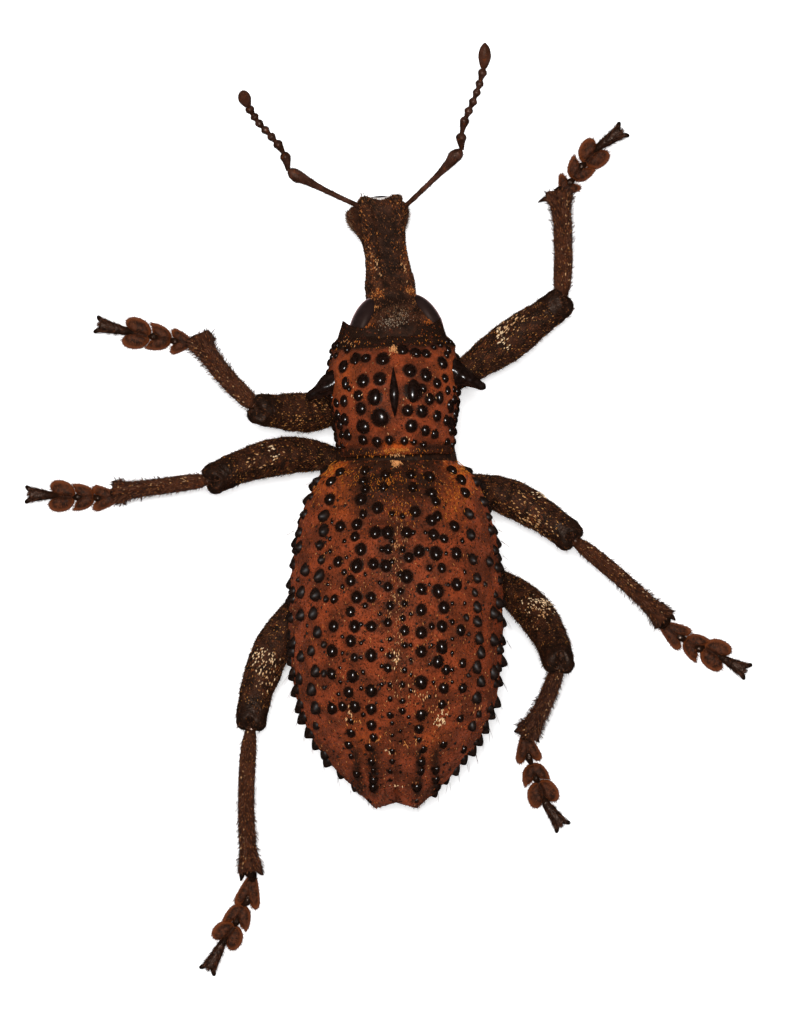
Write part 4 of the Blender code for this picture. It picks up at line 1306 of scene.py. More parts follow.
    # How far back each spine of the margin stands, on the left and then on the right.
    margin: tuple[tuple[float, ...], tuple[float, ...]] = (
        (0.5, 1.2, 1.9, 2.9, 3.5, 4.0, 4.9, 6.0, 6.8, 7.6, 8.5, 9.0, 9.8, 10.5, 11.3, 12.1, 12.6,
         13.3, 13.9, 14.7, 15.4, 16.1),
        (0.5, 1.2, 2.3, 3.4, 4.0, 4.7, 5.2, 5.7, 6.9, 7.9, 8.8, 9.8, 10.8, 11.8, 12.4, 13.1, 13.7,
         14.2, 14.7, 15.2, 15.7, 16.3),
    )
    margin_angle: float = math.radians(84)
    cream_tufts: tuple[Tuft, ...] = (
        Tuft(2.12, 0.73, 0.19, 0.22, 27, 0.9), Tuft(2.0, 0.7, 0.3, 0.2, 12, 0.2),
        Tuft(-2.25, 0.715, 0.1, 0.2, 10, 0.5), Tuft(-2.0, 0.74, 0.2, 0.15, 6, 0.1),
        Tuft(1.05, 0.8, 0.2, 0.2, 16, 0.2), Tuft(0.4, 0.795, 0.1, 0.1, 6, 0.1),
        Tuft(-0.4, 0.82, 0.08, 0.06, 4, 0.8), Tuft(1.1, 0.655, 0.3, 0.18, 14, 0.4),
        Tuft(0.0, 0.945, 0.12, 0.2, 7, 0.8), Tuft(-1.0, 0.785, 0.2, 0.08, 6, 0.1),
        Tuft(3.9, 0.7, 0.1, 0.08, 6, 0.2), Tuft(0.0, 0.56, 0.1, 0.3, 12, 0.8),
    )
    golden_tufts: tuple[Tuft, ...] = (
        Tuft(0.0, 0.004, 0.1, 0.1, 130, 0.3), Tuft(0.0, 0.06, 1.2, 0.4, 120),
        Tuft(-0.35, 0.055, 0.12, 0.1, 26), Tuft(0.0, 0.13, 0.5, 0.5, 70),
        Tuft(3.25, 0.022, 0.25, 0.25, 150), Tuft(-3.3, 0.022, 0.3, 0.25, 170),
        Tuft(3.4, 0.06, 0.4, 0.4, 120), Tuft(-3.6, 0.06, 0.4, 0.4, 110),
        Tuft(-2.4, 0.04, 0.4, 0.3, 60), Tuft(2.5, 0.12, 0.5, 0.4, 80),
        Tuft(0.0, 0.22, 0.25, 0.8, 60, 0.3), Tuft(0.0, 0.36, 0.25, 1.0, 60, 0.4),
        Tuft(0.0, 0.55, 0.25, 1.2, 50, 0.4), Tuft(0.0, 0.5, 2.8, 4.0, 260, 0.15),
    )
    grain_rows: tuple[float, ...] = (0.78, 1.58, 2.5, 3.42, 4.2, 4.85)
    grain_pitch: float = 0.55
    pit_pitch: float = 0.42
    # How many short hairs fringe the tips.
    fringe: int = 260
    ridges: tuple[float, float] = (1.15, 2.0)
    suture: tuple[float, float] = (0.07, 0.05)
    seed: int = 5

    # The greatest half width of the hind body, where the rows are as far out as they are listed.
    widest: float = 5.25

    def across(self, out: float, follow: float, place: Array) -> Array:
        """How far from the midline a row runs at a place."""
        return out * (self.form.width.at(place) / self.widest) ** follow

    def row(self, out: float, place: Array) -> Array:
        """How far from the midline a row of grains and pits runs; outer ones keep to the rim."""
        return self.across(out, min(out / 5, 0.9), place)

    def read_bosses(self, rough: bool) -> Bosses:
        """The bosses that the lists place.

        Args:
            rough: whether to give the rough ones of the sides or the rounded ones of the back.

        Returns:
            Where they stand and how big they are.
        """
        draw = np.random.default_rng(self.seed + rough)
        rows = []
        for radius, *spots in self.bosses:
            for side, pairs in zip((-1, 1), spots):
                back, out = np.array(pairs).T
                keep = (out > self.side_begins) == rough
                spot, out = back[keep] / self.form.length, out[keep]
                grow = radius * np.clip(draw.normal(1, 0.07, len(spot)), 0.85, 1.15)
                grow *= 1 - 0.12 * step(0.7, 0.9, spot)
                stretch = draw.uniform(1.02, 1.2, len(spot))
                rise = (1.05 if rough else 0.92) * draw.uniform(0.9, 1.1, len(spot))
                rows.append((spot, self.form.angle_across(spot, side * out),
                             stack(grow / stretch, grow * stretch, grow * rise)))
        if rough:
            row_angle, first, last, count = self.side_row
            for side in (-1, 1):
                spot = np.linspace(first, last, count) + draw.normal(0, 0.008, count)
                grow = 0.25 * np.clip(draw.normal(1, 0.1, count), 0.75, 1.2)
                rows.append((spot, side * (row_angle + draw.normal(0, 0.03, count)),
                             stack(grow, grow * 1.1, grow * 1.1)))
        place, angle, size = joined(rows)
        return Bosses(place, angle, size, draw.normal(0, 0.15, len(place)))

    def margin_spines(self) -> Bosses:
        """The blunt spines along the margin, low in front and higher behind."""
        draw = np.random.default_rng(self.seed + 2)
        rows = []
        for side, back in zip((-1, 1), self.margin):
            spot = np.array(back) / self.form.length
            rise = 0.22 + 0.12 * step(0.2, 0.6, spot) - 0.08 * step(0.88, 0.96, spot)
            grow = draw.uniform(0.55, 1.12, len(spot))
            foot = 0.19 + 0.11 * grow - 0.06 * step(0.88, 0.96, spot)
            rows.append((spot, side * (self.margin_angle + draw.normal(0, 0.02, len(spot))),
                         stack(foot, foot * 1.15, rise * grow)))
        place, angle, size = joined(rows)
        return Bosses(place, angle, size, place * 0)

    def grains(self) -> Bosses:
        """The tiny grains strewn in lines between the bosses."""
        draw = np.random.default_rng(self.seed + 3)
        rows = []
        for side in (-1, 1):
            for out in self.grain_rows:
                count = int(0.9 * self.form.length / self.grain_pitch)
                spots = np.linspace(0.03, 0.93, count) + draw.normal(0, 0.01, count)
                spots = spots[draw.uniform(size=count) < 0.75]
                across = self.row(out, spots) + draw.normal(0, 0.14, len(spots))
                grow = draw.uniform(0.04, 0.08, len(spots))
                rows.append((spots, self.form.angle_across(spots, side * across),
                             stack(grow, grow * 1.15, grow * 0.8)))
        place, angle, size = joined(rows)
        return Bosses(place, angle, size, place * 0)

    def ridge(self, x: Array, place: Array, breadth: float) -> Array:
        """How much a point is on one of the sharp ridges near the tips."""
        rear = step(0.76, 0.84, place) * step(0.985, 0.94, place)
        lines = [bell(np.abs(x), self.across(out, 0.1, place), breadth) for out in self.ridges]
        return np.maximum(*lines) * rear

    def relief(self, x: Array, place: Array) -> Array:
        """The suture, the lines of pits and the ridges near the tips, as a height in mm."""
        depth, breadth = self.suture
        height = -depth * bell(x, 0, breadth) + 0.35 * depth * bell(np.abs(x), 0.15, 0.1)
        for out in self.grain_rows:
            turns = place * self.form.length / self.pit_pitch
            pits = 0.55 + 0.45 * np.cos(math.tau * turns + out * 9)
            height -= 0.025 * bell(np.abs(x), self.row(out, place), 0.1) * pits
        shoulder = bell(np.abs(x), 3.3, 0.7) * bell(place, 0.06, 0.035)
        return height + 0.16 * self.ridge(x, place, 0.13) + 0.12 * shoulder

    def shell(self, bosses: Sequence[Bosses]) -> Object:
        """The shell of both wing cases, closed underneath."""
        form = self.form
        # Closer rings at both ends, where the rims are.
        place = np.concatenate([np.linspace(0, 0.02, 8), np.linspace(0.023, 0.985, self.rings - 20),
                                np.linspace(0.988, 1, 12)])[:, None]
        share = np.linspace(-1, 1, self.sides)[None, :]
        angle = form.edge_angle(place) * share
        points, normal, _ = form.stand(place, angle)
        centres = np.concatenate([b.bed(form)[0] for b in bosses])
        radii = np.concatenate([b.size[:, :2].mean(axis=1) for b in bosses])
        near = nearness(points, centres, radii)
        x = points[..., 0] - MIDLINE_X
        height = self.relief(x, place + 0 * x) - COAT_DEPTH
        height += 0.04 * bell(near, 0.6, 0.75)
        height += Ripple(1.6, 0.03, 3).at(points) + Ripple(0.5, 0.008, 4).at(points)
        outer = points + normal * (height * step(1, 0.93, np.abs(share)))[..., None]
        values = {name: np.pad(value, ((0, 0), (0, self.hidden)), mode="edge")
                  for name, value in self.markings(x, place + 0 * x, near).items()}
        values["cover"][:, self.sides:] = 0
        shell = Shell("wing_cases")
        shell.add(form.closed(outer, place, self.hidden, 0.25), **values)
        return shell.build()

    def markings(self, x: Array, place: Array, near: Array) -> dict[str, Array]:
        """What the finish and the coat read.

        Args:
            x: how far points lie from the midline.
            place: their places.
            near: how near they are to bosses.

        Returns:
            Where the shell is bare, orange or sooty, and how thickly and how big scales grow.
        """
        out = np.abs(x)
        rim = out / self.form.width.at(place)
        bare = step(1.2, 1.0, near)
        orange = most(bell(rim, 0.86, 0.15) * step(0.13, 0.02, place),
                      0.4 * bell(out, 2.7, 0.8) * bell(place, 0.11, 0.07),
                      0.3 * bell(out, 1.7, 0.7) * bell(place, 0.79, 0.06))
        soot = most(0.95 * step(3.1, 1.4, out) * step(0.24, 0.06, place),
                    0.6 * step(1.0, 0.2, out) * step(0.6, 0.25, place),
                    0.25 * step(0.35, 0.1, out),
                    0.95 * step(0.03, 0.005, place) * step(0.85, 0.7, rim),
                    self.ridge(x, place, 0.22))
        return {"bare": bare, "orange": orange, "soot": soot, "cover": 1 - bare,
                "stature": 1 + 0 * x}

    def margin_hairs(self, spines: Bosses) -> Object:
        """The fine hair behind each spine of the margin, and the fringe of the tips."""
        draw = np.random.default_rng(self.seed + 4)
        place = np.repeat(spines.place, 2)
        place = place + draw.normal(0, 0.003, len(place))
        length = draw.uniform(0.42, 0.72, len(place))
        side = np.sign(draw.uniform(-1, 1, self.fringe))
        place = np.concatenate([place, draw.uniform(0.93, 0.998, self.fringe)])
        angle = np.concatenate([np.repeat(spines.angle, 2),
                                side * draw.uniform(0.25, 1.5, self.fringe)])
        length = np.concatenate([length, draw.uniform(0.13, 0.28, self.fringe)])
        points, normal, lie = self.form.stand(np.clip(place, 0, 1), angle)
        way = unit(lie * 0.9 + normal * draw.uniform(0.4, 1.0, (len(place), 1)))
        size = stack(0.035 + 0.03 * step(0.3, 0.4, length), length, length * 0.5)
        # The long hairs grow from the spines' tops, the fringe out of the rim.
        rise = np.where(length > 0.3, 0.18, -0.02)[:, None]
        hairs = Planting(self.wardrobe.hair, self.wardrobe.bristle, lift=0.0, turn=0.25)
        return hairs.on("wing_case_margin_hairs", points + normal * rise,
                        unit(np.cross(way, np.cross(normal, way))), way, size,
                        unwrapped(place, angle))

    def build(self) -> None:
        """Build every piece of the wing cases."""
        dress = self.wardrobe
        back, sides = self.read_bosses(False), self.read_bosses(True)
        spines, grains = self.margin_spines(), self.grains()
        shell = self.shell((back, sides, spines, grains))
        install(shell, Slot.WING_CASES, dress.wing_ground, ("elytron_left", "elytron_right"))
        for name, bosses, sprig, finish in (
                ("wing_case_bosses", back, dress.boss, dress.lacquer),
                ("wing_case_side_bosses", sides, dress.knob, dress.dull_lacquer),
                ("wing_case_margin_spines", spines, dress.thorn, dress.dull_lacquer),
                ("wing_case_grains", grains, dress.grain, dress.dull_lacquer)):
            black = Planting(sprig, finish, variety=0.0, lift=0.0, turn=0.0)
            x = bosses.bed(self.form)[0][:, 0] - MIDLINE_X
            sink = COAT_DEPTH - np.maximum(self.relief(x, bosses.place), 0)
            install(bosses.planted(name, self.form, black, sink), Slot.WING_CASES)
        scales = Planting(dress.leaf, dress.rust_scale, (0.055, 0.1, 0.08), 135, 0.3, 0.08, 0.5, 2)
        install(scales.over("wing_case_scales", shell), Slot.WING_CASES)
        golden = Planting(dress.leaf, dress.golden_scale, lift=0.12, turn=0.3)
        for name, size, tufts in (("wing_case_cream_scales", (0.06, 0.18, 0.1), self.cream_tufts),
                                  ("wing_case_golden_scales", (0.032, 0.18, 0.1),
                                   self.golden_tufts)):
            install(tufted(name, self.form, golden, size, tufts, self.seed), Slot.WING_CASES)
        install(self.margin_hairs(spines), Slot.WING_CASES)


@dataclass
class Underside:
    """The underside of the hind body, its plates, and the neck that joins it to the prothorax."""

    wardrobe: Wardrobe
    form: HindForm = HIND
    rings: int = 200
    sides: int = 96
    # Where one belly plate ends and the next begins.
    seams: tuple[float, ...] = (0.355, 0.5, 0.66, 0.735, 0.81, 0.9)

    def build(self) -> None:
        """Build the underside as one closed skin, and its scales."""
        form = self.form
        place = np.linspace(0, 1, self.rings)[:, None]
        edge = form.edge_angle(place)
        share = np.linspace(0, 1, self.sides)[None, :]
        angle = edge + (math.tau - 2 * edge) * share
        points, normal, _ = form.stand(place, angle)
        height = np.full(points.shape[:2], -0.06)
        for seam in self.seams:
            height -= 0.09 * bell(place, seam, 0.004) - 0.05 * bell(place, seam - 0.012, 0.01)
        height += Ripple(1.2, 0.03, 8).at(points)
        rings = form.closed(points + normal * height[..., None], place, 12, 0.2)
        cover = (np.arange(rings.shape[1]) < self.sides)[None, :]
        shell = Shell("underside")
        shell.add(rings, (0, 0, 1, 0.85), cover=cover, stature=cover, bare=0, rust=0, cream=0)
        share = np.linspace(0, 1, 24)
        neck, _, _ = limb_rings(stack(MIDLINE_X, 1.4 + 2.2 * share, 5.2), 1.98 - 0.3 * share, 48,
                                1.62)
        shell.add(neck, (0, 0.86, 1, 1), -1, cover=1, stature=0.8, bare=0.4, rust=0, cream=0)
        skin = install(shell.build(), Slot.UNDERSIDE, self.wardrobe.belly,
                       ("metathorax", "abdomen"))
        scales = Planting(self.wardrobe.leaf, self.wardrobe.pelt, (0.045, 0.12, 0.1), 18, 0.3,
                          0.1, 0.4, 3)
        install(scales.over("underside_scales", skin), Slot.UNDERSIDE)


@dataclass
class Pronotum:
    """The prothorax: its shell, bosses, keel, side spines and scales."""

    wardrobe: Wardrobe
    form: ProthoraxForm = PROTHORAX
    rings: int = 200
    sides: int = 240
    # Each boss of the back: its place, how far across it stands, and half its width and length.
    back: tuple[tuple[float, float, float, float], ...] = (
        (0.9, 2.3, 0.16, 0.16), (0.89, -2.2, 0.19, 0.22), (0.88, 1.98, 0.16, 0.16),
        (0.87, 0.46, 0.28, 0.34), (0.84, 1.12, 0.26, 0.31), (0.83, 1.62, 0.22, 0.28),
        (0.82, 2.6, 0.17, 0.22), (0.81, -1.83, 0.18, 0.4), (0.81, -1.31, 0.25, 0.25),
        (0.8, -0.48, 0.31, 0.38), (0.75, -2.42, 0.28, 0.35), (0.75, 2.4, 0.3, 0.33),
        (0.69, 0.79, 0.31, 0.34), (0.65, 1.58, 0.28, 0.34), (0.63, -0.67, 0.31, 0.34),
        (0.62, -1.5, 0.3, 0.34), (0.62, 2.5, 0.22, 0.22), (0.61, -2.35, 0.2, 0.34),
        (0.58, 2.1, 0.23, 0.26), (0.56, -2.16, 0.14, 0.15), (0.54, 1.4, 0.18, 0.25),
        (0.52, 0.94, 0.32, 0.6), (0.52, 2.6, 0.18, 0.25), (0.5, -1.76, 0.26, 0.26),
        (0.48, -0.95, 0.31, 0.43), (0.46, -2.45, 0.24, 0.3), (0.46, 2.2, 0.2, 0.34),
        (0.45, 1.72, 0.23, 0.31), (0.4, 2.7, 0.24, 0.27), (0.39, -1.64, 0.29, 0.29),
        (0.36, 0.63, 0.26, 0.29), (0.35, 1.33, 0.25, 0.34), (0.31, -2.46, 0.26, 0.31),
        (0.31, -0.72, 0.4, 0.46), (0.31, 2.03, 0.25, 0.28), (0.27, 2.5, 0.24, 0.27),
        (0.24, -1.58, 0.38, 0.31), (0.23, 0.79, 0.3, 0.31), (0.19, 1.45, 0.23, 0.29),
        (0.18, -2.33, 0.27, 0.28), (0.16, 1.91, 0.22, 0.25), (0.13, -1.6, 0.25, 0.25),
        (0.12, -0.31, 0.2, 0.26), (0.11, -0.9, 0.23, 0.28), (0.11, 0.42, 0.2, 0.23),
        (0.1, 0.88, 0.15, 0.18), (0.08, 1.34, 0.17, 0.15),
    )
    # The bosses down each flank: the angle from the top, where the row starts and ends, and how
    # many it has.
    flank_rows: tuple[tuple[float, float, float, int], ...] = (
        (66, 0.1, 0.94, 11), (79, 0.08, 0.92, 11), (93, 0.1, 0.9, 10), (108, 0.16, 0.8, 8))
    boss_height: float = 0.23
    # How far forward and inward the lobes behind the eyes go, and how wide they are.
    lobe_reach: float = 0.46
    lobe_inward: float = 0.1
    lobe_angle: tuple[float, float] = (math.radians(86), math.radians(38))
    collar_reach: float = 0.38
    keel: tuple[float, float, float, float] = (0.3, 0.735, 0.24, 0.34)
    # The side spines: the side, where each stands, and how far out and back its tip lies.
    spines: tuple[tuple[int, float, float, float], ...] = ((-1, 0.64, 1.22, 0.86),
                                                           (1, 0.7, 1.46, 0.94))
    spine_angle: float = math.radians(72)
    spine_girth: float = 0.38
    spine_taper: Curve = Curve(((0, 1.15), (0.25, 0.96), (0.45, 0.74), (0.65, 0.54), (0.83, 0.42),
                                (0.94, 0.31), (1, 0.05)))
    spine_breadth: float = 1.4
    seed: int = 21

    def bosses(self) -> Bosses:
        """The rounded bosses of the back and flanks."""
        draw = np.random.default_rng(self.seed)
        place, across, half_width, half_length = np.array(self.back).T
        angle = self.form.angle_across(place, across)
        rise = self.boss_height * (0.5 + half_width) * 1.3 * draw.uniform(0.9, 1.1, len(place))
        rows = [(place, angle, stack(half_width, half_length, rise))]
        for degrees, first, last, count in self.flank_rows:
            for side, spine in zip((-1, 1), self.spines):
                spots = np.linspace(first, last, count) + draw.normal(0, 0.012, count)
                spots = spots[(np.abs(spots - spine[1]) > 0.13) | (degrees > 90)]
                row = side * np.radians(degrees + draw.normal(0, 2.5, len(spots)))
                grow = draw.uniform(0.17, 0.25, len(spots)) * (1 - 0.25 * step(0.75, 0.95, spots))
                stretch = draw.uniform(0.95, 1.25, len(spots))
                rows.append((spots, row, stack(grow, grow * stretch, grow * 0.85)))
        place, angle, size = joined(rows)
        return Bosses(place, angle, size, draw.normal(0, 0.2, len(place)))

    def front_lobes(self, ring: Array, angle: Array, share: float) -> Array:
        """The ring that far, from 0 to 1, along the collar and the lobes behind the eyes."""
        middle, spread = self.lobe_angle
        turned = np.abs(np.where(angle > math.pi, angle - math.tau, angle))
        lobe = bell(turned, middle, spread) * share
        centre = ring.mean(axis=0)
        grown = ring.copy()
        grown[:, 0] = centre[0] + (ring[:, 0] - centre[0]) * (1 - self.lobe_inward * lobe)
        grown[:, 1] += self.collar_reach * share + self.lobe_reach * lobe
        grown[:, 2] = centre[2] + (ring[:, 2] - centre[2]) * (1 - 0.06 * share)
        return grown

    def shell(self, bosses: Bosses) -> Object:
        """The shell, its front and rear rims turned in."""
        form = self.form
        place = np.linspace(0, 1, self.rings)[:, None]
        angle = angles_round(self.sides)[None, :]
        points, normal, _ = form.stand(place, angle)
        near = nearness(points, bosses.bed(form)[0], bosses.size[:, :2].mean(axis=1))
        height = -COAT_DEPTH + 0.05 * bell(near, 0.6, 0.75) + 0 * angle
        height += 0.06 * bell(place, 0.015, 0.015) - 0.09 * bell(place, 0.07, 0.02)
        height += -0.07 * bell(place, 0.935, 0.025) - 0.05 * step(0.95, 1.0, place)
        height += Ripple(1.4, 0.03, 11).at(points) + Ripple(0.45, 0.006, 12).at(points)
        rings = points + normal * height[..., None]
        collar = [self.front_lobes(rings[-1], angle[0], share) for share in np.linspace(0.1, 1, 12)]
        rings = np.concatenate([rings, collar])
        lips = []
        for end, inward in ((0, 1), (-1, -1)):
            middle = rings[end].mean(axis=0)
            for shrink, depth in ((0.8, 0.5), (0.86, 0.3), (0.93, 0.12), (0.975, 0.03)):
                lip = middle + (rings[end] - middle) * shrink
                lip[:, 1] += inward * depth
                lips.append(lip)
        rings = np.concatenate([lips[:4], rings, lips[:3:-1]])
        x = rings[..., 0] - MIDLINE_X
        all_place = np.concatenate([np.zeros((4, 1)), place, np.ones((16, 1))])
        near = np.pad(near, ((4, 16), (0, 0)), mode="edge")
        shell = Shell("pronotum")
        shell.add(rings, rearward=-1, **self.markings(x, all_place + 0 * x, rings[..., 2], near))
        return shell.build()

    def markings(self, x: Array, place: Array, z: Array, near: Array) -> dict[str, Array]:
        """What the finish and the coat read.

        Args:
            x: how far points lie from the midline.
            place: their places.
            z: their heights.
            near: how near they are to bosses.

        Returns:
            Where the shell is bare, orange or sooty, and how thickly and how big scales grow.
        """
        out = np.abs(x)
        bare = most(step(1.3, 1.02, near), 0.6 * step(0.88, 0.93, place), 0.8 * step(5.6, 4.4, z),
                    0.6 * step(0.075, 0.045, place) * step(0.5, 1.2, out))
        orange = most(0.9 * bell(place, 0.07, 0.045) * step(1.1, 0.2, out),
                      0.5 * bell(place, 0.0, 0.012),
                      0.35 * bell(out, 2.6, 0.6) * bell(place, 0.66, 0.2))
        soot = step(0.86, 0.91, place) + 0.85 * step(0.1, 0.05, place) * step(0.3, 1.3, out)
        # Darker down the flanks, below a height of 6.8 mm.
        soot = most(soot, step(6.8, 5.4, z))
        return {"bare": bare, "orange": orange, "soot": np.clip(soot, 0, 1),
                "cover": 1 - 0.85 * bare, "stature": 1 + 0 * x}

    def spine_shell(self) -> Object:
        """The keel along the middle and the stout horn on each side."""
        shell = Shell("pronotum_spines")
        rear, front, half_width, rise = self.keel
        along = np.linspace(rear, front, 40)
        points, normal, _ = self.form.stand(along, along * 0)
        swell = np.linspace(-1, 1, 40)
        girth = np.maximum((1 - np.abs(swell + 0.1 * (1 - swell ** 2)) ** 1.4), 0.02)
        rings, _, _ = limb_rings(points + normal * (girth * rise * 0.35)[:, None],
                                 girth * half_width, 20)
        shell.add(rings, (0, 0, 0.3, 1))
        boxes = ((0.34, 0, 0.64, 1), (0.68, 0, 0.98, 1))
        share = np.linspace(0, 1, 34)
        for (side, place, out, back), box in zip(self.spines, boxes):
            root, normal, _ = self.form.stand(place, side * self.spine_angle)
            tip = root + np.array([side * out, -back, -0.2])
            bend = root + np.array([side * out * 0.48, -back * 0.58, 0.02])
            path = bent(root - normal * 0.35, bend, tip, share)
            girth = self.spine_taper.at(share) * self.spine_girth
            rings, spread, turn = limb_rings(path, girth, 28, self.spine_breadth)
            ribs = 0.07 * np.cos(turn * 5)[None, :] * step(0.9, 0.2, share)[:, None]
            ribs = ribs + Ripple(0.5, 0.05, 22).at(rings)
            shell.add(rings + spread * (ribs * step(1, 0.8, share)[:, None] * 0.5)[..., None], box)
        return shell.build()

    def golden_scales(self) -> Object:
        """The yellow spot in front, the orange band behind and the pale scales between."""
        draw = np.random.default_rng(self.seed + 1)
        tufts = [
            Tuft(0.07, 0.885, 0.09, 0.09, 80, 0.3), Tuft(0.05, 0.05, 0.4, 0.05, 70, 0.05),
            Tuft(0.0, 0.01, 0.25, 0.05, 16, 0.3), Tuft(0.0, 0.03, 1.7, 0.12, 60),
            Tuft(-1.3, 0.94, 0.8, 0.14, 24), Tuft(1.4, 0.94, 0.8, 0.14, 20),
            Tuft(-1.9, 0.96, 0.3, 0.1, 12, 0.3), Tuft(-0.05, 0.004, 0.1, 0.08, 10, 0.5),
        ]
        tufts += [Tuft(draw.uniform(-2.3, 2.3), draw.uniform(0.12, 0.84), 0.02, 0.02, 1, 0.5)
                  for _ in range(30)]
        golden = Planting(self.wardrobe.leaf, self.wardrobe.golden_scale, lift=0.12, turn=0.3)
        return tufted("pronotum_golden_scales", self.form, golden, (0.042, 0.15, 0.1), tufts,
                      self.seed)

    def build(self) -> None:
        """Build every piece of the prothorax."""
        dress = self.wardrobe
        bosses = self.bosses()
        shell = self.shell(bosses)
        install(shell, Slot.PRONOTUM, dress.pronotum_ground, ("prothorax",))
        black = Planting(dress.boss, dress.lacquer, variety=0.0, lift=0.0, turn=0.0)
        install(bosses.planted("pronotum_bosses", self.form, black), Slot.PRONOTUM)
        install(self.spine_shell(), Slot.PRONOTUM, dress.horn)
        scales = Planting(dress.leaf, dress.pronotum_scale, (0.05, 0.085, 0.08), 190, 0.3, 0.08,
                          0.5, 4)
        install(scales.over("pronotum_scales", shell), Slot.PRONOTUM)
        install(self.golden_scales(), Slot.PRONOTUM)


